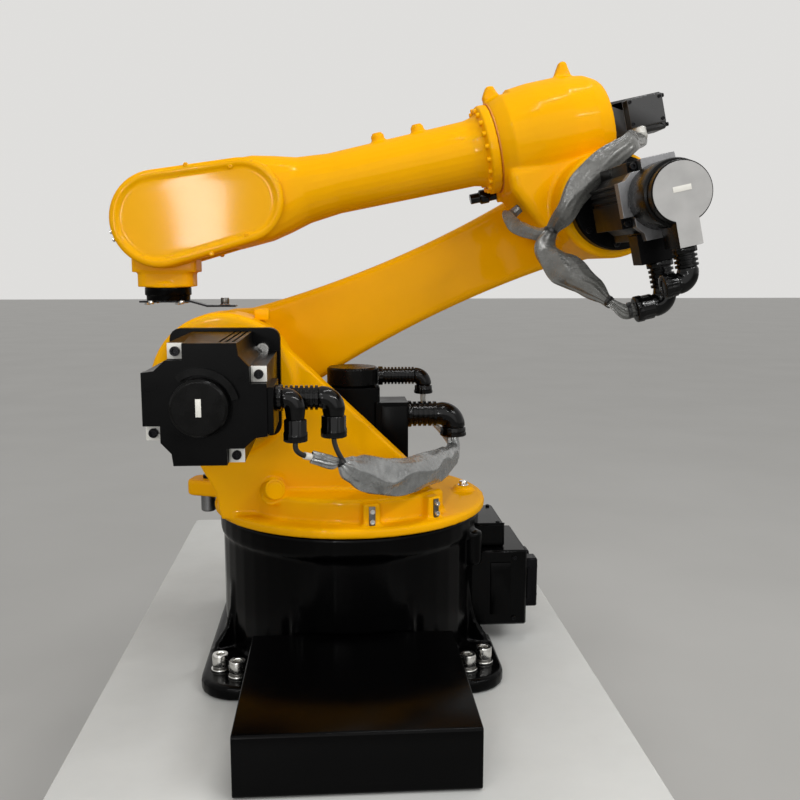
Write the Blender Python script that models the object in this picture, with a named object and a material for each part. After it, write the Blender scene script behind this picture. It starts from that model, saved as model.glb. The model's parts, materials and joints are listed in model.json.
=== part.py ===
"""Six-axis industrial robot arm on its welded steel plinth, folded back as it is parked.

Metres, +Z up, floor at z = 0. The turning column's axis is the world Z axis. The arm works in the XZ plane:
the wrist hangs at -X, the elbow stands at +X and the shoulder and elbow motors face -Y.
Each body is modelled in the frame of its own joint, and an empty on that joint carries it.
"""
import bmesh
import bpy
from math import acos, atan2, cos, hypot, pi, radians, sin, sqrt
from mathutils import Matrix, Vector

for old in list(bpy.data.objects):
    bpy.data.objects.remove(old, do_unlink=True)

# Clearances
GAP = 0.0003
WRIST_GAP = 0.0005

# Plinth
PLINTH_HEIGHT = 0.250
PLINTH_WIDTH = 0.980
PLINTH_LENGTH = 1.960
TOP_PLATE = 0.016
RAIL_HEIGHT = 0.100
RAIL_WALL = 0.050
PANEL_HEIGHT = 0.085
PANEL_WALL = 0.010
POST_SIDE = 0.060
FOOT_SIDE = 0.240
FOOT_OUT = 0.090
FOOT_PLATE = 0.018
GUSSET_WALL = 0.012
GUSSET_INSET = 0.045
ANCHOR_BORE = 0.022

# Base casting, measured up from the plinth top
BASE_TOP = 0.305
BASE_RADIUS = 0.276
FLANGE_THICK = 0.028
FLANGE_X = 0.299
FLANGE_Y = 0.320
FLANGE_CORNER = 0.075
BOLT_OUTER = (0.263, 0.232)
BOLT_INNER = (0.226, 0.266)
BOLT_BORE = 0.022
WEB_WALL = 0.015
WEB_REACH = 0.318
WEB_TOP = 0.170
STOP_ANGLE = radians(-27)
BRACKET_WIDTH = 0.392
BRACKET_HEIGHT = 0.104
BRACKET_FRONT = 0.652
BRACKET_LIFT = 0.003
BRACKET_SINK = 0.020
HOUSING_OUT = 0.104
HOUSING_SINK = 0.045
HOUSING_FRONT = 0.085
HOUSING_DEPTH = 0.200
HOUSING_TOP = 0.212
UPPER_BOX_OUT = 0.059
UPPER_BOX_TOP = 0.262

# Turning column
DISC_OVERHANG = 0.018
DISC_RADIUS = BASE_RADIUS + DISC_OVERHANG
DISC_THICK = 0.020
DECK_RADIUS = 0.252
DECK_TOP = 0.372
DECK_SPAN = (radians(170), radians(318))
STOP_DOG_OUT = 0.056
STOP_DOG_ANGLE = radians(165.7)
STOP_DOG_RADIUS = 0.0165
STOP_DOG_DROP = 0.036
EAR_THICK = 0.036
SHOULDER_X = -0.250
SHOULDER_Z = 0.588
SHOULDER_RADIUS = 0.142
SHOULDER_NECK = 0.116
COLUMN_FRONT = -0.180
COLUMN_STEP = -0.052
WEB_BACK = -0.105
COLUMN_BACK = 0.085
WEB_TOE = 0.418
PEDESTAL_TOP = 0.398

# Arm
ARM_LENGTH = 0.842
ARM_ANGLE = radians(24.7)
ARM_INNER = 0.120
ARM_THICK = 0.100
SHOULDER_HUB = 0.135
ELBOW_HUB = 0.112
ARM_WAIST = 0.069
ARM_POCKET = 0.040

# Elbow and forearm
ELBOW_OFFSET = 0.168
FOREARM_LENGTH = 0.880
FOREARM_TILT = radians(12.5)
ELBOW_RADIUS = 0.105
BARREL_RADIUS = 0.115
BARREL_FRONT = -0.178
BARREL_BACK = 0.065
WEB_TIP = (-0.172, 0.070)
WEB_HEEL = (-0.120, -0.030)
ROLL_RADIUS = 0.092
TUBE_RADIUS = 0.066
CHEEK_HALF = 0.084
CHEEK_RADIUS = 0.098
CHEEK_REAR = 0.086
CHEEK_LENGTH = 0.158
SLOT_HALF = 0.047
SLOT_DEPTH = 0.132
COVER_THICK = 0.009

# Wrist
WRIST_RADIUS = 0.082
FLANGE_REACH = 0.165
TOOL_RADIUS = 0.048
TOOL_THICK = 0.027
BRACKET_SHEET = 0.004
BRACKET_DROP = 0.0095

# Motors
FIN_PITCH = 0.011
FIN_WIDTH = 0.0045
FIN_DEPTH = 0.004
PLUG_RIB = 0.0025
SHOULDER_MOTOR = 0.200
SHOULDER_MOTOR_END = -0.498
SHOULDER_PINION = (0.009, 0.009)
SHOULDER_END_PLATE = 0.024
TERMINAL_OUT = 0.010
SIGNAL_PLUG = 0.018
POWER_PLUG = 0.0205
COLUMN_MOTOR = 0.116
COLUMN_MOTOR_AT = (0.007, 0.030)
COLUMN_MOTOR_TOP = 0.560
COLUMN_TERMINAL = 0.060
COLUMN_CAP = 0.042
COLUMN_POWER_PLUG = 0.0265
ELBOW_MOTOR = 0.136
ELBOW_PINION = (0.002, -0.005)
ELBOW_ADAPTER = 0.035
ELBOW_ADAPTER_RADIUS = 0.090
ELBOW_NECK = 0.047
ELBOW_BODY_END = -0.420
ELBOW_PLATE = 0.020
TERMINAL_DROP = 0.040
TERMINAL_DEPTH = 0.047
TAB_DROP = 0.019
ENCODER_RADIUS = 0.056
ENCODER_FACE = 0.0456
ENCODER_END = -0.540
CAP_RADIUS = 0.047
CAP_THICK = 0.030
ROLL_MOTOR = 0.076
ROLL_MOTOR_LENGTH = 0.123
ROLL_TERMINAL = 0.028

PAINT = ("yellow_paint", (0.93, 0.56, 0.015), 0.25, 0.0)
GLOSS_BLACK = ("gloss_black_paint", (0.012, 0.012, 0.013), 0.22, 0.0)
MOTOR_BLACK = ("motor_black", (0.015, 0.015, 0.016), 0.38, 0.0)
RUBBER = ("connector_black", (0.020, 0.020, 0.022), 0.55, 0.0)
PALE_GREY = ("plinth_grey_paint", (0.62, 0.63, 0.60), 0.45, 0.0)
CAST_GREY = ("bare_aluminium", (0.55, 0.55, 0.56), 0.35, 0.9)
STEEL = ("turned_steel", (0.50, 0.50, 0.52), 0.30, 1.0)
VINYL = ("grey_vinyl", (0.33, 0.34, 0.34), 0.45, 0.0)
DARK_CAP = ("cap_dark_grey", (0.10, 0.10, 0.105), 0.45, 0.0)


def material(spec):
    name, colour, roughness, metallic = spec
    found = bpy.data.materials.get(name)
    if found:
        return found
    made = bpy.data.materials.new(name)
    made.use_nodes = True
    shader = made.node_tree.nodes["Principled BSDF"]
    shader.inputs["Base Color"].default_value = (*colour, 1.0)
    shader.inputs["Roughness"].default_value = roughness
    shader.inputs["Metallic"].default_value = metallic
    return made


def joint_empty(name, location, tilt=0.0, parent=None):
    """A datum that carries one body; tilt turns it about Y, nose up for a positive angle."""
    empty = bpy.data.objects.new(name, None)
    bpy.context.scene.collection.objects.link(empty)
    empty.location = location
    empty.rotation_euler = (0.0, -tilt, 0.0)
    empty.parent = parent
    return empty


def solid(name, bm, look, carrier=None):
    bmesh.ops.remove_doubles(bm, verts=bm.verts, dist=1e-6)
    bmesh.ops.recalc_face_normals(bm, faces=bm.faces)
    if bm.calc_volume(signed=True) < 0:
        bmesh.ops.reverse_faces(bm, faces=bm.faces)
    mesh = bpy.data.meshes.new(name)
    bm.to_mesh(mesh)
    bm.free()
    mesh.shade_smooth()
    mesh.set_sharp_from_angle(angle=radians(35))
    made = bpy.data.objects.new(name, mesh)
    bpy.context.scene.collection.objects.link(made)
    made.data.materials.append(material(look))
    made.parent = carrier
    return made


def skin(name, rings, look, carrier=None):
    """Closes rings of equal count into one solid with flat ends."""
    bm = bmesh.new()
    made = [[bm.verts.new(point) for point in ring] for ring in rings]
    count = len(rings[0])
    for near, far in zip(made, made[1:]):
        for i in range(count):
            j = (i + 1) % count
            bm.faces.new((near[i], near[j], far[j], far[i]))
    bm.faces.new(list(reversed(made[0])))
    bm.faces.new(made[-1])
    return solid(name, bm, look, carrier)


def place(axis, first, second, height):
    """Puts outline coordinates in the plane across an axis: (y, z), (x, z) or (x, y)."""
    if axis == "X":
        return (height, first, second)
    if axis == "Y":
        return (first, height, second)
    return (first, second, height)


def prism(name, outline, axis, low, high, look, carrier=None):
    rings = [[place(axis, a, b, height) for a, b in outline] for height in (low, high)]
    return skin(name, rings, look, carrier)


def layered(name, layers, axis, look, carrier=None):
    """Outlines of equal count at their heights, such as a face with a chamfer round it."""
    rings = [[place(axis, a, b, height) for a, b in outline] for height, outline in layers]
    return skin(name, rings, look, carrier)


def box(name, x, y, z, look, carrier=None, edge=0.0):
    outline = [(x[0], y[0]), (x[1], y[0]), (x[1], y[1]), (x[0], y[1])]
    made = prism(name, outline, "Z", z[0], z[1], look, carrier)
    if edge:
        bevel(made, edge)
    return made


def bevel(made, width, segments=1, angle=40):
    mod = made.modifiers.new("edge", "BEVEL")
    mod.width = width
    mod.segments = segments
    mod.limit_method = "ANGLE"
    mod.angle_limit = radians(angle)
    settle(made)


def settle(made):
    """Bakes the modifiers of an object into its mesh."""
    graph = bpy.context.evaluated_depsgraph_get()
    mesh = bpy.data.meshes.new_from_object(made.evaluated_get(graph))
    made.modifiers.clear()
    made.data = mesh


def combine(made, tools, operation):
    """Unites tools with an object, or cuts them from it; both are in one frame."""
    for tool in tools:
        tool.parent = None
        carrier, made.parent = made.parent, None
        mod = made.modifiers.new("combine", "BOOLEAN")
        mod.operation = operation
        mod.solver = "EXACT"
        mod.object = tool
        settle(made)
        made.parent = carrier
        bpy.data.objects.remove(tool, do_unlink=True)
    made.data.shade_smooth()
    made.data.set_sharp_from_angle(angle=radians(35))
    return made


def unite(made, *tools):
    return combine(made, tools, "UNION")


def cut(made, *tools):
    return combine(made, tools, "DIFFERENCE")


def circle(radius, centre=(0.0, 0.0), count=48, start=0.0):
    return [(centre[0] + radius * cos(start + 2 * pi * i / count),
             centre[1] + radius * sin(start + 2 * pi * i / count)) for i in range(count)]


def drum(name, radius, axis, low, high, look, carrier=None, centre=(0.0, 0.0), count=48, edge=0.0):
    if not edge:
        return prism(name, circle(radius, centre, count), axis, low, high, look, carrier)
    inner, outer = circle(radius - edge, centre, count), circle(radius, centre, count)
    layers = [(low, inner), (low + edge, outer), (high - edge, outer), (high, inner)]
    return layered(name, layers, axis, look, carrier)


def turned(name, profile, axis, look, carrier=None, centre=(0.0, 0.0), count=48):
    """A solid of revolution from (radius, height) pairs that run from one end to the other."""
    rings = [[place(axis, a, b, height) for a, b in circle(radius, centre, count)]
             for radius, height in profile]
    return skin(name, rings, look, carrier)


def arc(centre, radius, start, end, steps):
    return [(centre[0] + radius * cos(start + (end - start) * i / steps),
             centre[1] + radius * sin(start + (end - start) * i / steps)) for i in range(steps + 1)]


def pinwheel(centre, half, pads, grooves=0):
    """End view of a servo motor: a square whose four corners are cut back, each for one flange screw.

    The body includes the screws' square pads, and cooling grooves run along each of its flats.
    """
    side = []
    for i in range(grooves):
        start = FIN_PITCH * i - 0.46 * half
        side += [(half, start), (half - FIN_DEPTH, start), (half - FIN_DEPTH, start + FIN_WIDTH),
                 (half, start + FIN_WIDTH)]
    side += [(half, 0.615 * half)] if pads else [(half, 0.34 * half), (0.725 * half, 0.34 * half)]
    side += [(0.725 * half, 0.615 * half), (0.555 * half, 0.80 * half), (0.53 * half, half)]
    outline = []
    for quarter in range(4):
        outline += [(centre[0] + a, centre[1] + b) for a, b in side]
        side = [(-b, a) for a, b in side]
    return outline


def slot_outline(first, first_radius, second, second_radius, steps=16):
    """Two circles and the straight tangents that join them, counter-clockwise from the second."""
    dx, dz = second[0] - first[0], second[1] - first[1]
    heading = atan2(dz, dx)
    lean = acos((first_radius - second_radius) / hypot(dx, dz))
    return (arc(second, second_radius, heading - lean, heading + lean, steps)
            + arc(first, first_radius, heading + lean, heading + 2 * pi - lean, steps))


def rounded(corners, radius, steps=5):
    """A convex polygon, counter-clockwise, with its corners rounded."""
    outline = []
    for i, corner in enumerate(corners):
        before, after = Vector(corners[i - 1]), Vector(corners[(i + 1) % len(corners)])
        point = Vector(corner)
        back, ahead = (before - point).normalized(), (after - point).normalized()
        half = back.angle(ahead) / 2
        reach = min(radius / max(0.05, abs(sin(half) / cos(half))), (before - point).length * 0.48,
                    (after - point).length * 0.48)
        size = reach * abs(sin(half) / cos(half))
        centre = point + (back + ahead).normalized() * (size / sin(half))
        first, last = point + back * reach - centre, point + ahead * reach - centre
        begin, turn = atan2(first.y, first.x), atan2(last.y, last.x)
        while turn < begin:
            turn += 2 * pi
        outline += arc(tuple(centre), size, begin, turn, steps)
    return outline


def rectangle(width, depth, centre=(0.0, 0.0)):
    x, y = width / 2, depth / 2
    return [(centre[0] + a, centre[1] + b) for a, b in ((-x, -y), (x, -y), (x, y), (-x, y))]


def sweep(name, points, radii, look, carrier=None, count=12, flat=1.0, ends=(None, None), facing=None):
    """A tube of changing radius along a path, square to the directions given for its ends.

    A flattened tube turns its broad side to the facing direction.
    """
    path = [Vector(point) for point in points]
    rings, side = [], None
    for i, point in enumerate(path):
        ahead = (path[min(i + 1, len(path) - 1)] - path[max(i - 1, 0)]).normalized()
        if i == 0 and ends[0]:
            ahead = Vector(ends[0])
        if i == len(path) - 1 and ends[1]:
            ahead = Vector(ends[1])
        if facing:
            side = ahead.cross(Vector(facing)).normalized()
        elif side is None:
            side = ahead.orthogonal().normalized()
        side = (side - ahead * side.dot(ahead)).normalized()
        other = ahead.cross(side)
        rings.append([point + side * (radii[i] * cos(2 * pi * k / count))
                      + other * (radii[i] * flat * sin(2 * pi * k / count)) for k in range(count)])
    return skin(name, rings, look, carrier)


def smooth_path(knots, values, steps=5):
    """Catmull-Rom curve through the knots, with the values carried along it."""
    points, carried = [], []
    last = len(knots) - 1
    for i in range(last):
        quad = [Vector(knots[max(0, min(last, i + k))]) for k in (-1, 0, 1, 2)]
        for step in range(steps):
            t = step / steps
            points.append(0.5 * ((2 * quad[1]) + (quad[2] - quad[0]) * t
                                 + (2 * quad[0] - 5 * quad[1] + 4 * quad[2] - quad[3]) * t ** 2
                                 + (3 * quad[1] - quad[0] - 3 * quad[2] + quad[3]) * t ** 3))
            carried.append(values[i] + (values[i + 1] - values[i]) * t)
    return points + [Vector(knots[-1])], carried + [values[-1]]


# Datums: the plinth top, then one on each joint
plinth_top = joint_empty("plinth_top", (0.0, 0.0, PLINTH_HEIGHT))
turn_axis = joint_empty("joint_1_turn", (0.0, 0.0, 0.0), parent=plinth_top)
shoulder = joint_empty("joint_2_shoulder", (SHOULDER_X, 0.0, SHOULDER_Z), ARM_ANGLE, turn_axis)
elbow = joint_empty("joint_3_elbow", (ARM_LENGTH, 0.0, 0.0), FOREARM_TILT - ARM_ANGLE, shoulder)
roll = joint_empty("joint_4_roll", (0.0, 0.0, ELBOW_OFFSET), parent=elbow)
wrist = joint_empty("joint_5_wrist", (-FOREARM_LENGTH, 0.0, 0.0), -FOREARM_TILT, roll)
tool = joint_empty("joint_6_tool", (0.0, 0.0, -FLANGE_REACH), parent=wrist)


def build_plinth():
    """Welded frame: cover plate, four rails, two lower side panels and four gusseted feet."""
    half_x, half_y = PLINTH_WIDTH / 2, PLINTH_LENGTH / 2
    top = layered("plinth_top_plate",
                  [(PLINTH_HEIGHT - TOP_PLATE, rounded(rectangle(PLINTH_WIDTH, PLINTH_LENGTH), 0.012)),
                   (PLINTH_HEIGHT - 0.002, rounded(rectangle(PLINTH_WIDTH, PLINTH_LENGTH), 0.012)),
                   (PLINTH_HEIGHT, rounded(rectangle(PLINTH_WIDTH - 0.004, PLINTH_LENGTH - 0.004), 0.011))],
                  "Z", PALE_GREY)
    bores = [drum("bore", BOLT_BORE / 2, "Z", PLINTH_HEIGHT - 2 * TOP_PLATE, PLINTH_HEIGHT + 0.01,
                  PALE_GREY, centre=(sx * x, sy * y), count=12)
             for x, y in (BOLT_OUTER, BOLT_INNER) for sx in (-1, 1) for sy in (-1, 1)]
    cut(top, *bores)
    rail_top = PLINTH_HEIGHT - TOP_PLATE - GAP
    rail_low = rail_top - RAIL_HEIGHT
    inset = 0.002
    post = POST_SIDE
    for name, side in (("left", -1), ("right", 1)):
        outer, inner = side * (half_x - inset), side * (half_x - inset - RAIL_WALL)
        x = (min(outer, inner), max(outer, inner))
        y = (-half_y + inset + post + GAP, half_y - inset - post - GAP)
        box("plinth_side_rail_" + name, x, y, (rail_low, rail_top), PALE_GREY)
        inner = side * (half_x - inset - PANEL_WALL)
        x = (min(outer, inner), max(outer, inner))
        box("plinth_lower_panel_" + name, x, y, (rail_low - GAP - PANEL_HEIGHT, rail_low - GAP), PALE_GREY)
    for name, side in (("front", -1), ("back", 1)):
        outer, inner = side * (half_y - inset), side * (half_y - inset - RAIL_WALL)
        y = (min(outer, inner), max(outer, inner))
        x = (-half_x + inset + post + GAP, half_x - inset - post - GAP)
        box("plinth_end_rail_" + name, x, y, (rail_low, rail_top), PALE_GREY)
    for end, sy in (("front", -1), ("back", 1)):
        for side, sx in (("left", -1), ("right", 1)):
            build_foot("plinth_foot_%s_%s" % (end, side), sx, sy, half_x - inset, half_y - inset, rail_top)


def build_foot(name, sx, sy, corner_x, corner_y, post_top):
    """Corner post with its bolted foot plate and a gusset on each outer face."""
    def span(sign, near, far):
        return (min(sign * near, sign * far), max(sign * near, sign * far))

    reach_x, reach_y = corner_x + FOOT_OUT, corner_y + FOOT_OUT
    foot = box(name, span(sx, reach_x - FOOT_SIDE, reach_x), span(sy, reach_y - FOOT_SIDE, reach_y),
               (0.0, FOOT_PLATE), PALE_GREY)
    post = box("post", span(sx, corner_x - POST_SIDE, corner_x), span(sy, corner_y - POST_SIDE, corner_y),
               (FOOT_PLATE / 2, post_top), PALE_GREY)
    rise = post_top - 0.035
    run = FOOT_OUT - 0.006
    slope = [(-0.010, FOOT_PLATE / 2), (run, FOOT_PLATE / 2), (run, FOOT_PLATE + 0.012), (0.012, rise),
             (-0.010, rise)]
    along_x = [(sx * (corner_x + a), b) for a, b in slope]
    along_y = [(sy * (corner_y + a), b) for a, b in slope]
    centre_y, centre_x = corner_y - GUSSET_INSET, corner_x - GUSSET_INSET
    gusset_x = prism("gusset", along_x, "Y", *span(sy, centre_y, centre_y + GUSSET_WALL), PALE_GREY)
    gusset_y = prism("gusset", along_y, "X", *span(sx, centre_x, centre_x + GUSSET_WALL), PALE_GREY)
    unite(foot, post, gusset_x, gusset_y)
    near, far = FOOT_OUT / 3, FOOT_SIDE - FOOT_OUT / 3
    bores = [drum("bore", ANCHOR_BORE / 2, "Z", -0.01, FOOT_PLATE + 0.01, PALE_GREY,
                  centre=(sx * (reach_x - a), sy * (reach_y - b)), count=12)
             for a, b in ((near, near), (near, far), (far, near))]
    cut(foot, *bores)


def build_base():
    """Round casting on a bolted foot flange, with webs that run out to the corner bolts."""
    edge = 0.004
    foot = rounded(rectangle(2 * FLANGE_X, 2 * FLANGE_Y), FLANGE_CORNER, 6)
    rim = rounded(rectangle(2 * (FLANGE_X - edge), 2 * (FLANGE_Y - edge)), FLANGE_CORNER - edge, 6)
    casting = layered("base_casting", [(GAP, foot), (FLANGE_THICK - edge, foot), (FLANGE_THICK, rim)], "Z",
                      GLOSS_BLACK, plinth_top)
    profile = [(BASE_RADIUS - 0.002, FLANGE_THICK / 2), (BASE_RADIUS - 0.002, 0.050), (BASE_RADIUS, 0.075),
               (BASE_RADIUS, BASE_TOP - 0.050), (BASE_RADIUS + 0.006, BASE_TOP - 0.040),
               (BASE_RADIUS + 0.006, BASE_TOP - GAP - 0.004), (BASE_RADIUS + 0.002, BASE_TOP - GAP)]
    unite(casting, turned("barrel", profile, "Z", GLOSS_BLACK))
    webs = []
    for sx in (-1, 1):
        for sy in (-1, 1):
            heading = atan2(sy * BOLT_OUTER[1], sx * BOLT_INNER[0])
            lean = pi / 9 * sx * sy
            for turn in (heading - lean, heading + lean):
                inner = BASE_RADIUS / 3
                rise = [(inner, FLANGE_THICK / 2), (WEB_REACH, FLANGE_THICK / 2), (WEB_REACH, FLANGE_THICK + 0.012),
                        (BASE_RADIUS + 0.016, 0.075), (BASE_RADIUS + 0.006, 0.115),
                        (BASE_RADIUS + 0.001, WEB_TOP), (inner, WEB_TOP)]
                web = prism("web", rise, "Y", -WEB_WALL / 2, WEB_WALL / 2, GLOSS_BLACK)
                web.data.transform(Matrix.Rotation(turn, 4, "Z"))
                webs.append(web)
    unite(casting, *webs)
    seat = BRACKET_WIDTH / 2 + GAP
    cut(casting, box("seat", (-seat, seat), (-FLANGE_Y - 0.1, -BASE_RADIUS + BRACKET_SINK - GAP),
                     (-0.01, BRACKET_HEIGHT + BRACKET_LIFT + GAP), GLOSS_BLACK),
        box("socket", (BASE_RADIUS - HOUSING_SINK, BASE_RADIUS + 2 * HOUSING_OUT),
            (-HOUSING_FRONT - GAP, HOUSING_DEPTH - HOUSING_FRONT + GAP), (-0.01, UPPER_BOX_TOP + GAP),
            GLOSS_BLACK))
    stop_reach = BASE_RADIUS + 0.008
    stop_place = (stop_reach * cos(STOP_ANGLE), stop_reach * sin(STOP_ANGLE))
    stop = drum("stop_boss", 0.020, "Z", 0.200, 0.272, GLOSS_BLACK, centre=stop_place, count=20, edge=0.003)
    unite(casting, stop)
    bores = [drum("bore", BOLT_BORE / 2, "Z", -0.01, FLANGE_THICK + 0.01, GLOSS_BLACK,
                  centre=(sx * x, sy * y), count=12)
             for x, y in (BOLT_OUTER, BOLT_INNER) for sx in (-1, 1) for sy in (-1, 1)]
    cut(casting, *bores)


def build_front_bracket():
    """Rectangular steel tube on the front of the base, with holes in its end wall."""
    half = BRACKET_WIDTH / 2
    low, high = BRACKET_LIFT, BRACKET_LIFT + BRACKET_HEIGHT
    back = -BASE_RADIUS + BRACKET_SINK - 2 * GAP
    outline = rounded([(-BRACKET_FRONT, low), (back, low), (back, high), (-BRACKET_FRONT, high)], 0.006, 3)
    bracket = prism("front_bracket", outline, "X", -half, half, GLOSS_BLACK, plinth_top)
    return bracket


def build_connector_housing():
    """Cable entry housing on the right of the base, with two heavy rectangular connectors."""
    front, back = -HOUSING_FRONT, HOUSING_DEPTH - HOUSING_FRONT
    inner = BASE_RADIUS - HOUSING_SINK + GAP
    reach = BASE_RADIUS + HOUSING_OUT
    box("connector_housing", (inner, reach), (front, back), (0.016 + FLANGE_THICK, HOUSING_TOP),
        GLOSS_BLACK, plinth_top, edge=0.004)
    box("connector_upper_box", (inner, BASE_RADIUS + UPPER_BOX_OUT), (front + 0.03, back),
        (HOUSING_TOP + GAP, UPPER_BOX_TOP), GLOSS_BLACK, plinth_top, edge=0.003)
    for name, y, length in (("power_connector", -0.035, 0.110), ("signal_connector", 0.055, 0.090)):
        low = 0.128 - length / 2
        body = box(name, (reach + GAP, reach + 0.030), (y - 0.019, y + 0.019), (low, low + length),
                   CAST_GREY, plinth_top, edge=0.003)
        lever = box("lever", (reach + 0.006, reach + 0.016), (y - 0.024, y + 0.024),
                    (low + 0.02, low + length - 0.02), CAST_GREY)
        unite(body, lever)


def build_turning_column():
    """Turntable casting: rim disc, raised deck, the web up to the shoulder housing and the motor's pedestal."""
    low = BASE_TOP
    top = low + DISC_THICK
    casting = turned("turntable_casting",
                     [(DISC_RADIUS - 0.003, low), (DISC_RADIUS, low + 0.003), (DISC_RADIUS, top - 0.004),
                      (DISC_RADIUS - 0.004, top), (DISC_RADIUS / 3, top)], "Z", PAINT, turn_axis)
    centre = (SHOULDER_X, SHOULDER_Z)
    housing = drum("shoulder_front", SHOULDER_RADIUS, "Y", COLUMN_FRONT, COLUMN_STEP, PAINT, centre=centre,
                   edge=0.006)
    neck = drum("shoulder_neck", SHOULDER_NECK, "Y", COLUMN_STEP - 0.01, ARM_INNER - GAP, PAINT, centre=centre,
                count=40)
    crest = arc(centre, SHOULDER_RADIUS - 0.004, radians(40), radians(185), 9)
    web = [(-0.262, top - 0.01), (0.196, top - 0.01), (0.176, top + 0.024), (0.125, WEB_TOE)] + crest
    web += [(SHOULDER_X - SHOULDER_RADIUS + 0.010, SHOULDER_Z - 0.06), (-0.310, 0.440), (-0.272, DECK_TOP)]
    front_wall = prism("front_wall", web, "Y", COLUMN_FRONT + 0.012, WEB_BACK, PAINT)
    block = [(-0.240, top - 0.01), (-0.135, top - 0.01), (-0.150, 0.500), (SHOULDER_X + 0.09, SHOULDER_Z),
             (SHOULDER_X - 0.09, SHOULDER_Z), (-0.325, 0.480), (-0.262, DECK_TOP)]
    back_rib = prism("back_rib", block, "Y", WEB_BACK - 0.01, COLUMN_BACK, PAINT)
    edge = 0.005
    deck = layered("deck", [(top - 0.013, arc((0, 0), DECK_RADIUS, *DECK_SPAN, 20)),
                            (DECK_TOP - edge, arc((0, 0), DECK_RADIUS, *DECK_SPAN, 20)),
                            (DECK_TOP, arc((0, 0), DECK_RADIUS - edge, *DECK_SPAN, 20))], "Z", PAINT)
    pedestal = box("pedestal", (-0.052, 0.092), (-0.060, 0.122), (top - 0.01, PEDESTAL_TOP), PAINT)
    unite(casting, housing, neck, front_wall, back_rib, deck, pedestal)
    pads = []
    for angle in (-82.2, -53.0):
        pad = box("pad", (DECK_RADIUS - 0.02, DECK_RADIUS + 0.022), (-0.017, 0.017),
                  (top - 0.005, DECK_TOP - 0.004), PAINT)
        pad.data.transform(Matrix.Rotation(radians(angle), 4, "Z"))
        pads.append(pad)
    round_pad = drum("round_pad", 0.022, "Z", top - 0.005, top + 0.010, PAINT, centre=(0.252, 0.012), count=20)
    spigot_at = (-0.158, 0.375)
    spigot = drum("spigot", 0.021, "Y", COLUMN_FRONT - 0.026, COLUMN_FRONT + 0.030, PAINT, centre=spigot_at,
                  count=20)
    for vertex in spigot.data.vertices:
        if vertex.co.y < COLUMN_FRONT:
            vertex.co.y += 0.6 * (vertex.co.z - spigot_at[1])
    near, far = DECK_RADIUS - 0.04, BASE_RADIUS + STOP_DOG_OUT + 0.041
    ear = prism("ear", rounded([(near, -0.062), (far, -0.030), (far, 0.030), (near, 0.050)], 0.018, 4),
                "Z", low + 0.004, low + 0.004 + EAR_THICK, PAINT)
    ear.data.transform(Matrix.Rotation(STOP_DOG_ANGLE, 4, "Z"))
    unite(casting, *pads, round_pad, spigot, ear)
    dog_reach = BASE_RADIUS + STOP_DOG_OUT
    drum("stop_dog", STOP_DOG_RADIUS, "Z", low - STOP_DOG_DROP, low + 0.004 - GAP, CAST_GREY, turn_axis,
         centre=(dog_reach * cos(STOP_DOG_ANGLE), dog_reach * sin(STOP_DOG_ANGLE)), count=20, edge=0.003)


def build_column_motor():
    """Vertical servo motor of the turning axis on its pedestal, with its two right-angle plugs."""
    half = COLUMN_MOTOR / 2
    x, y = COLUMN_MOTOR_AT
    low, high = PEDESTAL_TOP + GAP, COLUMN_MOTOR_TOP
    outline = rounded(rectangle(COLUMN_MOTOR, COLUMN_MOTOR, (x, y)), 0.016, 3)
    body = prism("column_motor", outline, "Z", low, high, MOTOR_BLACK, turn_axis)
    side = x + half + COLUMN_TERMINAL
    unite(body, box("terminal_box", (x + half - 0.01, side), (y - 0.064, y + 0.030), (low + 0.006, high - 0.030),
                    MOTOR_BLACK))
    cap = half - 0.002
    drum("column_motor_cap", cap, "Z", high + GAP, high + COLUMN_CAP, DARK_CAP, turn_axis, centre=(x, y),
         count=36, edge=0.004)
    elbow_plug("column_signal_plug", (x + cap + GAP, y, high + COLUMN_CAP / 2), (1, 0, 0), 0.100, SIGNAL_PLUG,
               0.040, turn_axis)
    return elbow_plug("column_power_plug", (side + GAP, y - 0.017, high - 0.062), (1, 0, 0), 0.103,
                      COLUMN_POWER_PLUG, 0.050, turn_axis)


def elbow_plug(name, start, heading, run, radius, drop, carrier, away=(0, 0, -1)):
    """Right-angle plug with a collar at each end: leaves along its heading, turns away, gives its far end."""
    start, heading, away = Vector(start), Vector(heading), Vector(away)
    collar, ramp = 0.010, 0.0015
    bend = radius
    corner = start + heading * run
    wide = radius + PLUG_RIB
    path = [start, start + heading * collar, start + heading * (collar + ramp), corner - heading * bend]
    path += [corner - heading * bend * (1 - sin(a)) + away * bend * (1 - cos(a)) for a in (pi / 6, pi / 3)]
    path += [corner + away * reach for reach in (bend, drop - collar - ramp, drop - collar, drop)]
    sweep(name, path, [wide, wide] + [radius] * 6 + [wide, wide], RUBBER, carrier, count=14)
    return path[-1]


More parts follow.
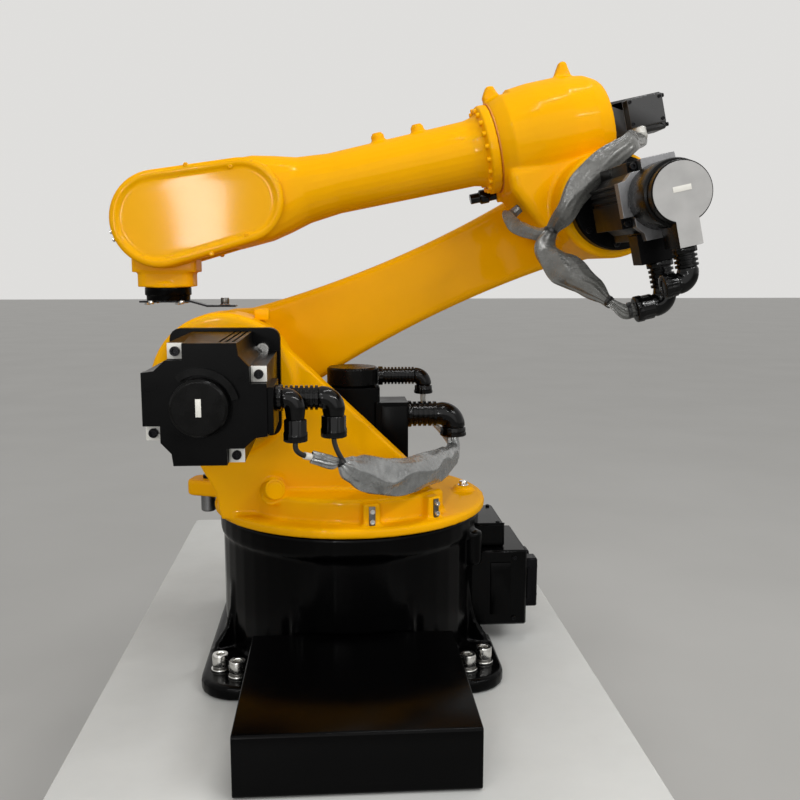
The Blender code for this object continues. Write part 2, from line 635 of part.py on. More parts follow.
def build_shoulder_motor():
    """Servo motor that drives the shoulder: finned body, pinwheel end plate, terminal block, cap, plugs."""
    centre = (SHOULDER_X + SHOULDER_PINION[0], SHOULDER_Z + SHOULDER_PINION[1])
    half = SHOULDER_MOTOR / 2
    seat = rounded(rectangle(SHOULDER_MOTOR + 0.010, SHOULDER_MOTOR + 0.010, centre), 0.020, 4)
    flange = prism("flange", seat, "Y", COLUMN_FRONT - 0.022, COLUMN_FRONT - GAP, MOTOR_BLACK)
    back = SHOULDER_MOTOR_END + SHOULDER_END_PLATE
    body = prism("shoulder_motor", pinwheel(centre, half - 0.001, True, 3), "Y", back - 0.002,
                 COLUMN_FRONT - 0.011, MOTOR_BLACK, turn_axis)
    plate = prism("end_plate", pinwheel(centre, half, False), "Y", SHOULDER_MOTOR_END, back, MOTOR_BLACK)
    side = centre[0] + half + TERMINAL_OUT
    end = SHOULDER_MOTOR_END
    terminal = box("terminal", (side - 2 * TERMINAL_OUT, side), (end + 0.006, end + 0.135),
                   (centre[1] - 0.050, centre[1] + 0.027), MOTOR_BLACK)
    unite(body, flange, plate, terminal)
    drum("shoulder_motor_cap", CAP_RADIUS, "Y", end - CAP_THICK, end - GAP, DARK_CAP, turn_axis,
         centre=(centre[0] - 0.006, centre[1] - 0.002), count=36, edge=0.004)
    signal = elbow_plug("shoulder_signal_plug", (side + GAP, end + 0.043, centre[1] + 0.004), (1, 0, 0),
                        0.033, SIGNAL_PLUG, 0.074, turn_axis)
    power = elbow_plug("shoulder_power_plug", (side + GAP, end + 0.098, centre[1] - 0.003), (1, 0, 0),
                       0.097, POWER_PLUG, 0.070, turn_axis)
    return signal, power


def build_lower_sleeve(signal, power, column):
    """Vinyl sleeve that gathers the leads of the two lower motors: a tied stub, a broad bag and a thin neck."""
    knots = [(-0.072, -0.427, 0.4945), (-0.040, -0.412, 0.4815), (-0.0256, -0.400, 0.4785),
             (-0.006, -0.385, 0.463), (0.021, -0.360, 0.449), (0.073, -0.310, 0.431), (0.130, -0.255, 0.429),
             (0.184, -0.150, 0.421), (0.215, -0.045, 0.414), (column.x, column.y - 0.010, 0.423),
             (column.x, column.y, column.z - GAP)]
    radii = [0.010, 0.011, 0.0075, 0.020, 0.028, 0.033, 0.032, 0.028, 0.021, 0.015, 0.013]
    path, sizes = smooth_path(knots, radii, 3)
    sleeve = sweep("lower_cable_sleeve", path, sizes, VINYL, turn_axis, count=12, flat=0.8,
                   ends=(None, (0, 0, 1)), facing=(0.35, -0.9, 0.25))
    leads = []
    for start, entry in ((signal, ((-0.005, 0.0, -0.022), (-0.066, -0.425, 0.4925), (-0.050, -0.417, 0.486))),
                         (power, ((0.007, 0.0, -0.024), (-0.012, -0.393, 0.476), (0.002, -0.380, 0.462)))):
        first = start - Vector((0, 0, GAP))
        path, sizes = smooth_path([first, first + Vector(entry[0]), entry[1], entry[2]], [0.0045] * 4, 3)
        leads.append(sweep("lead", path, sizes, VINYL, count=8, ends=((0, 0, -1), None)))
    unite(sleeve, *leads)


def arm_half_width(along):
    """Half-width of the cast beam between its hubs: flared at both ends, slender in the middle."""
    share = max(0.0, min(1.0, along / ARM_LENGTH))
    return ARM_WAIST + 0.058 * (1 - share) ** 3 + 0.034 * share ** 4


def arm_outline(inset):
    """Outline of the arm across its pivots, drawn in by an inset."""
    stations = [ARM_LENGTH * i / 20 for i in range(21)]
    upper, lower = [], []
    for along in stations:
        near = SHOULDER_HUB ** 2 - along ** 2
        far = ELBOW_HUB ** 2 - (along - ARM_LENGTH) ** 2
        width = max(arm_half_width(along), sqrt(max(0.0, near)), sqrt(max(0.0, far))) - inset
        upper.append((along, width))
        lower.append((along, -width))
    tip = arc((ARM_LENGTH, 0), ELBOW_HUB - inset, -pi / 2, pi / 2, 14)[1:-1]
    root = arc((0, 0), SHOULDER_HUB - inset, pi / 2, 3 * pi / 2, 16)[1:-1]
    return lower + tip + list(reversed(upper)) + root


def build_lower_arm():
    """Cast lower arm: two hubs and a waisted beam, with an oval pocket in its far side."""
    low, high = ARM_INNER, ARM_INNER + ARM_THICK
    edge = 0.010
    arm = layered("lower_arm", [(low, arm_outline(edge)), (low + edge, arm_outline(0.0)),
                                (high - edge, arm_outline(0.0)), (high, arm_outline(edge))], "Y", PAINT, shoulder)
    pocket = slot_outline((0.26, 0.0), 0.048, (0.62, 0.0), 0.042, 12)
    cut(arm, prism("pocket", pocket, "Y", high - ARM_POCKET, high + 0.01, PAINT))
    return arm


def build_elbow():
    """Elbow casting: bulged barrel round the forearm's roll axis, running down into the elbow housing."""
    axis = ELBOW_OFFSET
    profile = [(ROLL_RADIUS, BARREL_FRONT), (ROLL_RADIUS + 0.008, BARREL_FRONT + 0.012),
               (BARREL_RADIUS - 0.006, BARREL_FRONT + 0.030), (BARREL_RADIUS, BARREL_FRONT + 0.090),
               (BARREL_RADIUS, BARREL_BACK - 0.085), (BARREL_RADIUS - 0.008, BARREL_BACK - 0.033),
               (BARREL_RADIUS - 0.020, BARREL_BACK - 0.010), (BARREL_RADIUS - 0.030, BARREL_BACK)]
    casting = turned("elbow_casting", profile, "X", PAINT, elbow, centre=(0.0, axis), count=44)
    housing = drum("elbow_housing", ELBOW_RADIUS, "Y", COLUMN_FRONT, ARM_INNER - GAP, PAINT, count=44, edge=0.006)
    neck = [(WEB_TIP[0] - 0.002, 0.115), WEB_TIP, WEB_HEEL]
    neck += arc((0, 0), ELBOW_RADIUS - 0.006, radians(215), radians(350), 12)
    neck += [(0.094, 0.060), (0.058, 0.120)]
    web = prism("web", neck, "Y", -0.098, 0.088, PAINT)
    bevel(web, 0.016, 2)
    mouth_at = (0.072, 0.078)
    mouth_end = WEB_TIP[0] - 0.004
    mouth = drum("gland_mouth", 0.020, "X", mouth_end, mouth_end + 0.034, PAINT, centre=mouth_at, count=16)
    unite(casting, housing, web, mouth)
    ring_lug = [(-0.176, 0.080), (-0.136, 0.080), (-0.152, 0.148), (-0.166, 0.151), (-0.178, 0.114)]
    crown_lug = [(-0.034, BARREL_RADIUS - 0.02), (0.018, BARREL_RADIUS - 0.02), (0.008, BARREL_RADIUS + 0.027),
                 (-0.004, BARREL_RADIUS + 0.029)]
    unite(casting, *[prism("lug", [(a, b + axis) for a, b in lug], "Y", -0.012, 0.012, PAINT)
                     for lug in (ring_lug, crown_lug)])
    steps = [(GAP, 0.0125), (0.016, 0.0125), (0.018, 0.0155), (0.036, 0.0155), (0.038, 0.0110), (0.058, 0.0110)]
    turned("elbow_gland", [(radius, mouth_end - reach) for reach, radius in steps], "X", RUBBER, elbow,
           centre=mouth_at, count=16)


def build_elbow_motor():
    """Servo motor that drives the elbow: adapter disc, finned body, pale pinwheel plate and keyhole cover."""
    back = COLUMN_FRONT - ELBOW_ADAPTER
    drum("elbow_adapter", ELBOW_ADAPTER_RADIUS, "Y", back, COLUMN_FRONT - GAP, MOTOR_BLACK, elbow,
         centre=(ELBOW_PINION[0], 0.0), count=40, edge=0.004)
    half = ELBOW_MOTOR / 2
    neck_end = back - ELBOW_NECK
    body = prism("elbow_motor", pinwheel(ELBOW_PINION, half - 0.001, True, 3), "Y", ELBOW_BODY_END, neck_end,
                 MOTOR_BLACK, elbow)
    low = ELBOW_PINION[1] - half
    unite(body, drum("neck", 0.048, "Y", neck_end - 0.01, back - GAP, MOTOR_BLACK, centre=ELBOW_PINION, count=28),
          box("terminal", (-0.043, 0.030), (ELBOW_BODY_END, ELBOW_BODY_END + TERMINAL_DEPTH),
              (low - TERMINAL_DROP, low + 0.012), MOTOR_BLACK))
    plate_end = ELBOW_BODY_END - ELBOW_PLATE
    prism("elbow_motor_plate", pinwheel(ELBOW_PINION, half, False), "Y", plate_end, ELBOW_BODY_END - GAP,
          CAST_GREY, elbow)
    cover = drum("elbow_motor_cap", ENCODER_RADIUS, "Y", ENCODER_END + 0.018, plate_end - GAP, DARK_CAP, elbow,
                 centre=ELBOW_PINION, count=36, edge=0.003)
    face = drum("face", ENCODER_FACE, "Y", ENCODER_END, ENCODER_END + 0.030, DARK_CAP, centre=ELBOW_PINION,
                count=36)
    tab = box("tab", (-0.017, 0.022), (ENCODER_END, ENCODER_END + 0.070), (low - TAB_DROP, ELBOW_PINION[1]),
              DARK_CAP)
    unite(cover, face, tab)


def build_elbow_plugs():
    """The right-angle plugs under the elbow motor, side by side; gives the power plug's far end."""
    low = ELBOW_PINION[1] - ELBOW_MOTOR / 2
    down, away = (0, 0, -1), (-1, 0, 0)
    elbow_plug("elbow_signal_plug", (0.004, ENCODER_END + 0.040, low - TAB_DROP - GAP), down, 0.057,
               SIGNAL_PLUG, 0.046, elbow, away)
    power_at = (-0.004, ELBOW_BODY_END + TERMINAL_DEPTH / 2, low - TERMINAL_DROP - GAP)
    return elbow_plug("elbow_power_plug", power_at, down, 0.074, POWER_PLUG, 0.058, elbow, away)


def build_roll_motor():
    """Servo motor of the forearm's roll axis, on the back of the barrel; gives the place of its lead."""
    half = ROLL_MOTOR / 2
    x = (BARREL_BACK + GAP, BARREL_BACK + ROLL_MOTOR_LENGTH)
    z = ELBOW_OFFSET
    body = box("roll_motor", x, (-half, half), (z - half, z + half), MOTOR_BLACK, elbow, edge=0.005)
    low = z - 0.68 * half
    unite(body, box("terminal_box", (x[0] + 0.036, x[1] - 0.012), (-half - ROLL_TERMINAL, -half + 0.01),
                    (low, z + 0.84 * half), MOTOR_BLACK))
    return Vector((x[0] + 0.057, -half - ROLL_TERMINAL / 2, low - GAP))


def build_upper_sleeve(start, last):
    """Vinyl sleeve from the roll motor down to the elbow motor's plug, with a branch to the casting."""
    knots = [start, start + Vector((-0.002, -0.006, -0.018)), (0.111, -0.084, 0.117), (0.086, -0.122, 0.1135),
             (0.066, -0.168, 0.113), (0.041, -0.222, 0.103), (-0.0166, -0.238, 0.082), (-0.070, -0.238, 0.046),
             (-0.1075, -0.232, 0.0022), (-0.134, -0.203, -0.0245), (-0.1585, -0.225, -0.060),
             (-0.139, -0.280, -0.0986), (-0.1176, -0.335, -0.1356), (-0.1030, -0.378, -0.1617),
             (-0.0963, -0.392, -0.1702), last - Vector((0.017, 0, 0)), last - Vector((GAP, 0, 0))]
    radii = [0.011, 0.012, 0.014, 0.017, 0.017, 0.018, 0.021, 0.024, 0.021, 0.0125, 0.027, 0.032, 0.022, 0.011,
             0.008, 0.0115, 0.0115]
    path, sizes = smooth_path(knots, radii, 2)
    sleeve = sweep("upper_cable_sleeve", path, sizes, VINYL, elbow, count=12, flat=0.6,
                   ends=((0, 0, -1), (1, 0, 0)), facing=(0.1, -1, 0.1))
    tip, heel = Vector((WEB_TIP[0], 0, WEB_TIP[1])), Vector((WEB_HEEL[0], 0, WEB_HEEL[1]))
    along = (heel - tip).normalized()
    out = Vector((along.z, 0, -along.x))
    root = tip + along * 0.040 + Vector((0, -0.045, 0))
    knots = [root + out * GAP, root + out * 0.022, (-0.188, -0.085, 0.022), (-0.182, -0.130, -0.004),
             (-0.158, -0.180, -0.024), (-0.134, -0.203, -0.0245)]
    path, sizes = smooth_path(knots, [0.009, 0.010, 0.014, 0.016, 0.013, 0.009], 2)
    unite(sleeve, sweep("branch", path, sizes, VINYL, count=12, ends=(out, None)))


def ring_section(x, half_y, half_z, square, count=32):
    """Section of the forearm at x: a circle when square is 2, boxier as it grows."""
    points = []
    for i in range(count):
        angle = 2 * pi * (i + 0.5) / count
        a, b = cos(angle), sin(angle)
        size = (abs(a) ** square + abs(b) ** square) ** (-1 / square)
        points.append((x, half_y * a * size, half_z * b * size))
    return points


def build_forearm():
    """Forearm casting: bolted roll flange, tapering tube and the forked wrist housing."""
    start = BARREL_FRONT - GAP
    fork = -FOREARM_LENGTH
    stations = [(start, ROLL_RADIUS, ROLL_RADIUS, 2.0), (start - 0.020, ROLL_RADIUS, ROLL_RADIUS, 2.0),
                (start - 0.026, 0.074, 0.074, 2.0),
                (start - 0.050, TUBE_RADIUS + 0.002, TUBE_RADIUS + 0.002, 2.0),
                (fork + 0.360, TUBE_RADIUS - 0.003, TUBE_RADIUS - 0.003, 2.0),
                (fork + 0.295, TUBE_RADIUS, TUBE_RADIUS + 0.003, 2.2), (fork + 0.250, 0.074, 0.080, 3.0),
                (fork + 0.208, 0.080, 0.0875, 5.0), (fork + 0.135, 0.080, 0.090, 7.0)]
    tube = skin("forearm_casting", [ring_section(*station) for station in stations], PAINT, roll)
    low, high = -CHEEK_HALF, CHEEK_HALF
    edge = 0.008

    def cheek(inset):
        return slot_outline((fork, 0.0), CHEEK_RADIUS - inset, (fork + CHEEK_LENGTH, 0.0), CHEEK_REAR - inset, 16)
    head = layered("head", [(low, cheek(edge)), (low + edge, cheek(0.0)), (high - edge, cheek(0.0)),
                            (high, cheek(edge))], "Y", PAINT)
    unite(tube, head)
    reach = 2 * CHEEK_RADIUS
    gap = box("gap", (fork - reach, fork + SLOT_DEPTH), (-SLOT_HALF, SLOT_HALF), (-reach, reach), PAINT)
    cut(tube, gap)
    bosses = [drum("boss", 0.014, "Z", TUBE_RADIUS - 0.02, TUBE_RADIUS + 0.014, PAINT,
                   centre=(BARREL_FRONT - along, 0.0), count=16, edge=0.002) for along in (0.232, 0.147)]
    unite(tube, *bosses)
    for name, side in (("near", -1), ("far", 1)):
        inner = CHEEK_HALF + GAP

        def cover(inset):
            return slot_outline((fork, 0.0), CHEEK_RADIUS - inset, (fork + CHEEK_LENGTH + 0.012, 0.0),
                                CHEEK_REAR - inset)
        layers = [(side * (inner + depth), cover(inset)) for depth, inset in
                  ((0.0, 0.002), (0.4 * COVER_THICK, 0.002), (0.8 * COVER_THICK, 0.005), (COVER_THICK, 0.010))]
        layered("wrist_cover_" + name, layers, "Y", PAINT, roll)


def build_wrist():
    """Wrist block between the forearm's cheeks: pivot drum, step and neck."""
    half = SLOT_HALF - WRIST_GAP
    block = drum("wrist_block", WRIST_RADIUS, "Y", -half, half, PAINT, wrist, count=40, edge=0.003)
    step = prism("step", rounded(rectangle(0.132, 2 * half - 0.002), 0.008, 3), "Z", -0.106, -0.040, PAINT)
    seat = -FLANGE_REACH + TOOL_THICK + GAP
    neck = prism("neck", rounded(rectangle(0.115, 2 * half - 0.004), 0.020, 4), "Z", seat + 0.0015, -0.095, PAINT)
    ring = drum("ring", TOOL_RADIUS, "Z", seat, seat + 0.010, PAINT, count=32)
    unite(block, step, neck, ring)


def build_tool():
    """Round tool flange and the thin bent bracket bolted under it."""
    rim = TOOL_RADIUS - 0.003
    profile = [(rim - 0.001, 0.0), (rim, 0.001), (rim, 0.010), (TOOL_RADIUS, 0.012),
               (TOOL_RADIUS, TOOL_THICK - 0.001), (TOOL_RADIUS - 0.001, TOOL_THICK)]
    turned("tool_flange", profile, "Z", GLOSS_BLACK, tool, count=32)
    top, low = -GAP, -GAP - BRACKET_DROP
    upper = [(-0.058, top), (TOOL_RADIUS + 0.001, top), (0.082, low), (0.142, low)]
    lower = [(x, z - BRACKET_SHEET) for x, z in reversed(upper)]
    prism("tool_bracket", upper + lower, "Y", -0.018, 0.018, STEEL, tool)


build_plinth()
build_base()
build_front_bracket()
build_connector_housing()
build_turning_column()
column_plug_end = build_column_motor()
shoulder_signal_end, shoulder_power_end = build_shoulder_motor()
build_lower_sleeve(shoulder_signal_end, shoulder_power_end, column_plug_end)
build_lower_arm()
build_elbow()
build_elbow_motor()
roll_mouth = build_roll_motor()
build_upper_sleeve(roll_mouth, build_elbow_plugs())
build_forearm()
build_wrist()
build_tool()


def centre_model():
    """Moves the whole model along X until the middle of its outline is over the origin."""
    bpy.context.view_layer.update()
    reach = [(made.matrix_world @ vertex.co).x for made in bpy.data.objects if made.type == "MESH"
             for vertex in made.data.vertices]
    middle = (min(reach) + max(reach)) / 2
    for made in bpy.data.objects:
        if made.parent is None:
            made.location.x -= middle


centre_model()
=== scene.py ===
"""Looks of the six-axis robot arm on its steel plinth.

Castings, plugs, sleeves, wrist covers, fasteners, studio and camera, in metres.
"""
import json
from math import acos, atan2, cos, hypot, pi, radians, sin, sqrt

import bmesh
import bpy
from mathutils import Matrix, Vector, noise

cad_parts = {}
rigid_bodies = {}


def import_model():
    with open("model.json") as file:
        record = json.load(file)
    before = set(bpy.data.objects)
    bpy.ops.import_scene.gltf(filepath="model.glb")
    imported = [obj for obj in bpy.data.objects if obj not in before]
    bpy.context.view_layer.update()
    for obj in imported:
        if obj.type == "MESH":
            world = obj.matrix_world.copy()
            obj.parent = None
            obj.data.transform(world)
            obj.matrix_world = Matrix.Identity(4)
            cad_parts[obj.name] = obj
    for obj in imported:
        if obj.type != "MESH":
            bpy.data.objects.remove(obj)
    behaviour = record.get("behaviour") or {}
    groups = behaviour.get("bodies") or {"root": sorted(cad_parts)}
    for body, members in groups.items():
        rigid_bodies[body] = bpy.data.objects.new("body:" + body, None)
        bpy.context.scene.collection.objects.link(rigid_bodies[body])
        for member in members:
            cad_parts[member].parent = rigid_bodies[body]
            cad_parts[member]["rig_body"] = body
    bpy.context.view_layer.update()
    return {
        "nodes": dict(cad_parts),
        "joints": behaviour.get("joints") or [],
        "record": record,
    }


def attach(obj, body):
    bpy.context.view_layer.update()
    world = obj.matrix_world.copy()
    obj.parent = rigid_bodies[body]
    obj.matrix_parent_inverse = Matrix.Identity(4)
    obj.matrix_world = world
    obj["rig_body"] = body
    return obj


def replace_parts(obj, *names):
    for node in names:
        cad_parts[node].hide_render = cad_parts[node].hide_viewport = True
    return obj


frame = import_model()
NODES = frame["nodes"]
JOINTS = {joint["name"]: joint for joint in frame["joints"]}
SLOT_OF = {entry["node"]: entry["material_slot"] for entry in frame["record"]["subparts"]}

# ---- Datums ----

PLINTH_TOP = 0.250
FLANGE_TOP = 0.028                          # upper face of the base flange, over the plinth
HOUSING_FACE, HOUSING_TOP = -0.085, 0.262   # connector housing: near face in Y, top of its upper box
SHOULDER_MOTOR = (-0.241, 0.597)            # motor centre in X and Z, in TURN
COLUMN_MOTOR = (0.007, 0.030)               # motor centre in X and Y, in TURN
ELBOW_MOTOR = (0.002, -0.005)               # motor centre in X and Z, in ELBOW
ROLL_RISE = 0.168                           # roll axis over the elbow axis
FORK, HEAD_LENGTH = -0.880, 0.170           # wrist axis in X of ROLL, and its covers' rear centre behind it


def spot(name):
    return Vector(JOINTS[name]["pos_m"])


def tilted(origin, direction):
    """A frame at origin whose X axis points along direction, in the XZ plane."""
    return Matrix.Translation(origin) @ Matrix.Rotation(-atan2(direction.z, direction.x), 4, "Y")


FLOOR = Matrix.Translation((spot("joint_1_turn").x, 0.0, 0.0))
TURN = Matrix.Translation((spot("joint_1_turn").x, 0.0, PLINTH_TOP))
ELBOW = tilted(spot("joint_3_elbow"), Vector(JOINTS["joint_4_roll"]["axis"]))
ROLL = tilted(spot("joint_4_roll"), Vector(JOINTS["joint_4_roll"]["axis"]))
TOOL = Matrix.Translation(spot("joint_6_tool"))

BASE, COLUMN = "base_and_plinth", "turning_column"
ELBOW_LINK, FOREARM, TOOL_LINK = "elbow_link", "forearm_link", "tool_link"


# ---- Materials ----

def new_material(name, colour, roughness, metallic=0.0, **inputs):
    made = bpy.data.materials.new(name)
    made.use_nodes = True
    shader = made.node_tree.nodes["Principled BSDF"]
    shader.inputs["Base Color"].default_value = (*colour, 1.0)
    shader.inputs["Roughness"].default_value = roughness
    shader.inputs["Metallic"].default_value = metallic
    for key, value in inputs.items():
        shader.inputs[key.replace("_", " ")].default_value = value
    return made


class Graph:
    """Short calls for building a material's node graph."""

    def __init__(self, material):
        self.tree = material.node_tree
        self.shader = self.tree.nodes["Principled BSDF"]
        self.coords = self.add("ShaderNodeTexCoord").outputs["Object"]

    def add(self, kind):
        return self.tree.nodes.new(kind)

    def link(self, source, target):
        self.tree.links.new(source, target)

    def noise(self, scale, detail=4.0, rough=0.5, distortion=0.0):
        node = self.add("ShaderNodeTexNoise")
        node.inputs["Scale"].default_value = scale
        node.inputs["Detail"].default_value = detail
        node.inputs["Roughness"].default_value = rough
        node.inputs["Distortion"].default_value = distortion
        self.link(self.coords, node.inputs["Vector"])
        return node.outputs["Fac"]

    def spread(self, value, low, high, from_low=0.3, from_high=0.7):
        node = self.add("ShaderNodeMapRange")
        node.inputs["From Min"].default_value = from_low
        node.inputs["From Max"].default_value = from_high
        node.inputs["To Min"].default_value = low
        node.inputs["To Max"].default_value = high
        self.link(value, node.inputs["Value"])
        return node.outputs["Result"]

    def mix(self, factor, first, second):
        node = self.add("ShaderNodeMix")
        node.data_type = "RGBA"
        self.link(factor, node.inputs["Factor"])
        for socket, value in ((node.inputs["A"], first), (node.inputs["B"], second)):
            if isinstance(value, tuple):
                socket.default_value = (*value, 1.0)
            else:
                self.link(value, socket)
        return node.outputs["Result"]

    def colour(self, value):
        self.link(value, self.shader.inputs["Base Color"])

    def roughness(self, value):
        self.link(value, self.shader.inputs["Roughness"])

    def bump(self, *layers):
        """Height layers as (value, strength, distance in metres)."""
        normal = None
        for value, strength, distance in layers:
            node = self.add("ShaderNodeBump")
            node.inputs["Strength"].default_value = strength
            node.inputs["Distance"].default_value = distance
            self.link(value, node.inputs["Height"])
            if normal:
                self.link(normal, node.inputs["Normal"])
            normal = node.outputs["Normal"]
        self.link(normal, self.shader.inputs["Normal"])


DUST = (0.45, 0.42, 0.36)


def paint(name, colour, roughness, dust, peel=0.10, wave=0.10, **inputs):
    """Sprayed enamel over a casting: orange peel, a slow cast waviness and a breath of dust."""
    made = new_material(name, colour, roughness, **inputs)
    graph = Graph(made)
    worn = tuple(channel * 0.92 for channel in colour)
    base = graph.mix(graph.spread(graph.noise(5.0, 5.0, 0.6), 0.0, 1.0), colour, worn)
    specks = graph.spread(graph.noise(90.0, 6.0, 0.7), 0.0, dust, 0.60, 0.78)
    graph.colour(graph.mix(specks, base, DUST))
    graph.roughness(graph.spread(graph.noise(14.0, 6.0, 0.65), roughness * 0.85, roughness * 1.35))
    graph.bump((graph.noise(420.0, 2.0, 0.5), peel, 0.0004), (graph.noise(17.0, 3.0, 0.5), wave, 0.0020))
    return made


YELLOW = paint("yellow_enamel", (0.87, 0.405, 0.0006), 0.30, 0.002, wave=0.05, Specular_IOR_Level=0.0,
               Coat_Weight=0.16, Coat_Roughness=0.075)
GLOSS_BLACK = paint("gloss_black_enamel", (0.0007, 0.0007, 0.0008), 0.18, 0.002, peel=0.14,
                    Specular_IOR_Level=0.07)
MOTOR_BLACK = paint("motor_black_paint", (0.0013, 0.0013, 0.0014), 0.30, 0.003, peel=0.24, wave=0.0,
                    Specular_IOR_Level=0.07)
SATIN_BLACK = paint("satin_black_paint", (0.0160, 0.0160, 0.0165), 0.30, 0.010, peel=0.24, wave=0.0,
                    Specular_IOR_Level=0.55)
PLINTH_GREY = paint("plinth_grey_paint", (0.64, 0.645, 0.625), 0.40, 0.05, peel=0.12, wave=0.03,
                    Specular_IOR_Level=0.30)


def plastic(name, colour, roughness, **inputs):
    made = new_material(name, colour, roughness, **inputs)
    graph = Graph(made)
    shade = tuple(channel * 0.84 for channel in colour)
    graph.colour(graph.mix(graph.spread(graph.noise(26.0, 4.0), 0.0, 1.0), colour, shade))
    graph.roughness(graph.spread(graph.noise(40.0, 5.0), roughness * 0.85, roughness * 1.25))
    graph.bump((graph.noise(900.0, 2.0), 0.16, 0.0002))
    return made


def metal(name, colour, roughness):
    made = new_material(name, colour, roughness, metallic=1.0)
    graph = Graph(made)
    grain = graph.noise(240.0, 4.0, 0.6)
    shade = tuple(channel * 0.78 for channel in colour)
    graph.colour(graph.mix(graph.spread(graph.noise(20.0, 4.0), 0.0, 1.0), colour, shade))
    graph.roughness(graph.spread(grain, roughness * 0.7, roughness * 1.5))
    graph.bump((grain, 0.08, 0.0003))
    return made


def vinyl(name, dark, light, film):
    """Grey sleeving: limp vinyl, creased all over, with the metallic sheen of film as a share."""
    made = new_material(name, light, 0.30, metallic=film, Specular_IOR_Level=0.75)
    graph = Graph(made)
    graph.colour(graph.mix(graph.spread(graph.noise(46.0, 5.0, 0.6), 0.0, 1.0), dark, light))
    graph.roughness(graph.spread(graph.noise(70.0, 4.0), 0.20, 0.34))
    graph.bump((graph.noise(170.0, 4.0, 0.6, distortion=1.5), 0.14, 0.0010),
               (graph.noise(44.0, 2.0, 0.4, distortion=2.5), 0.34, 0.0030))
    return made


RUBBER = plastic("plug_plastic", (0.0014, 0.0014, 0.0015), 0.15, Specular_IOR_Level=0.22)
# Painted light and shade: both sleeves are one grey vinyl. The upper sleeve's darker colours are painted
# shade. The lower bag's paler colours are painted light where it faces up, and the bag also has a real share
# of silvery film.
VINYL_PAINTED_SHADE = vinyl("grey_vinyl", (0.088, 0.088, 0.081), (0.138, 0.137, 0.128), film=0.25)
VINYL_PALE_PAINTED_LIGHT = vinyl("pale_vinyl_painted_light", (0.200, 0.204, 0.202), (0.330, 0.336, 0.332), film=0.65)
CAP_GREY = plastic("cap_dark_grey", (0.0025, 0.0024, 0.0023), 0.26, Specular_IOR_Level=0.10)
FACE_GREY = plastic("encoder_face", (0.400, 0.394, 0.384), 0.42)
TIE_BLACK = plastic("tie_black", (0.008, 0.008, 0.008), 0.40)
LABEL_WHITE = plastic("blank_label", (0.78, 0.76, 0.70), 0.42)
PAD_WHITE = plastic("pale_washer", (0.74, 0.73, 0.68), 0.38)
TAPE_PALE = plastic("pale_tape", (0.58, 0.57, 0.53), 0.22)
SEAL_BROWN = plastic("seal_line", (0.62, 0.20, 0.003), 0.42)
ALUMINIUM = metal("bare_aluminium", (0.25, 0.25, 0.255), 0.42)
CONNECTOR_HOOD = metal("dark_die_casting", (0.010, 0.010, 0.011), 0.40)
STEEL = metal("turned_steel", (0.165, 0.16, 0.15), 0.34)
ZINC = metal("bright_zinc", (0.74, 0.73, 0.70), 0.20)
DARK_STEEL = metal("blackened_screw", (0.016, 0.016, 0.017), 0.28)

LOOKS = {
    "yellow_paint": YELLOW, "gloss_black_paint": GLOSS_BLACK, "motor_black": MOTOR_BLACK,
    "connector_black": RUBBER, "plinth_grey_paint": PLINTH_GREY, "bare_aluminium": ALUMINIUM,
    "turned_steel": STEEL, "grey_vinyl": VINYL_PAINTED_SHADE, "cap_dark_grey": CAP_GREY,
}
SLOT_BY_LOOK = {look.name: slot for slot, look in LOOKS.items()}
SLOT_BY_LOOK.update({
    VINYL_PALE_PAINTED_LIGHT.name: "grey_vinyl", ZINC.name: "turned_steel", DARK_STEEL.name: "turned_steel",
    TIE_BLACK.name: "connector_black", SATIN_BLACK.name: "motor_black",
})


# ---- Mesh helpers ----

def put(name, mesh, look, body):
    """Links a mesh as a piece that rides on a body."""
    mesh.materials.clear()
    mesh.materials.append(look)
    made = bpy.data.objects.new(name, mesh)
    bpy.context.scene.collection.objects.link(made)
    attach(made, body)
    return made


def finish_mesh(name, bm, look, body, matrix=Matrix(), smooth=35.0):
    bmesh.ops.remove_doubles(bm, verts=bm.verts, dist=1e-6)
    bmesh.ops.recalc_face_normals(bm, faces=bm.faces)
    mesh = bpy.data.meshes.new(name)
    bm.to_mesh(mesh)
    bm.free()
    mesh.transform(matrix)
    mesh.shade_smooth()
    mesh.set_sharp_from_angle(angle=radians(smooth))
    return put(name, mesh, look, body)


def rings_into(bm, rings):
    """Skins rings of equal count into a closed solid."""
    made = [[bm.verts.new(point) for point in ring] for ring in rings]
    count = len(rings[0])
    for near, far in zip(made, made[1:]):
        for i in range(count):
            j = (i + 1) % count
            bm.faces.new((near[i], near[j], far[j], far[i]))
    bm.faces.new(list(reversed(made[0])))
    bm.faces.new(made[-1])


def facing(direction):
    """Rotation that turns +Z to a direction."""
    return Vector((0, 0, 1)).rotation_difference(Vector(direction).normalized()).to_matrix().to_4x4()


def polygon_reach(radius, sides, angle):
    """Distance to a regular polygon's edge at an angle; its radius is half the width across flats."""
    if not sides:
        return radius
    step = 2 * pi / sides
    return radius / cos(angle % step - step / 2)


def lathe_into(bm, profile, place, count=24):
    """Revolves (radius, height) pairs about Z; a third number makes the ring a polygon of so many sides."""
    rings = []
    for radius, height, *sides in profile:
        reaches = [(2 * pi * i / count, polygon_reach(radius, sides[0] if sides else 0, 2 * pi * i / count))
                   for i in range(count)]
        rings.append([place @ Vector((reach * cos(a), reach * sin(a), height)) for a, reach in reaches])
    rings_into(bm, rings)


def socket_profile(head, depth):
    """Cylinder-head screw with a hexagon socket."""
    key = head * 0.50
    return [(head * 0.97, 0.0), (head, depth * 0.05), (head, depth * 0.88), (head * 0.93, depth),
            (key * 1.06, depth, 6), (key, depth * 0.95, 6), (key, depth * 0.45, 6)]


def hex_profile(half, depth):
    """Hexagon head with its corners chamfered."""
    return [(half, 0.0, 6), (half, depth * 0.86, 6), (half * 0.97, depth), (half * 0.6, depth)]


def washer_profile(outer, thick):
    return [(outer * 0.97, 0.0), (outer, thick * 0.3), (outer, thick * 0.7), (outer * 0.96, thick)]


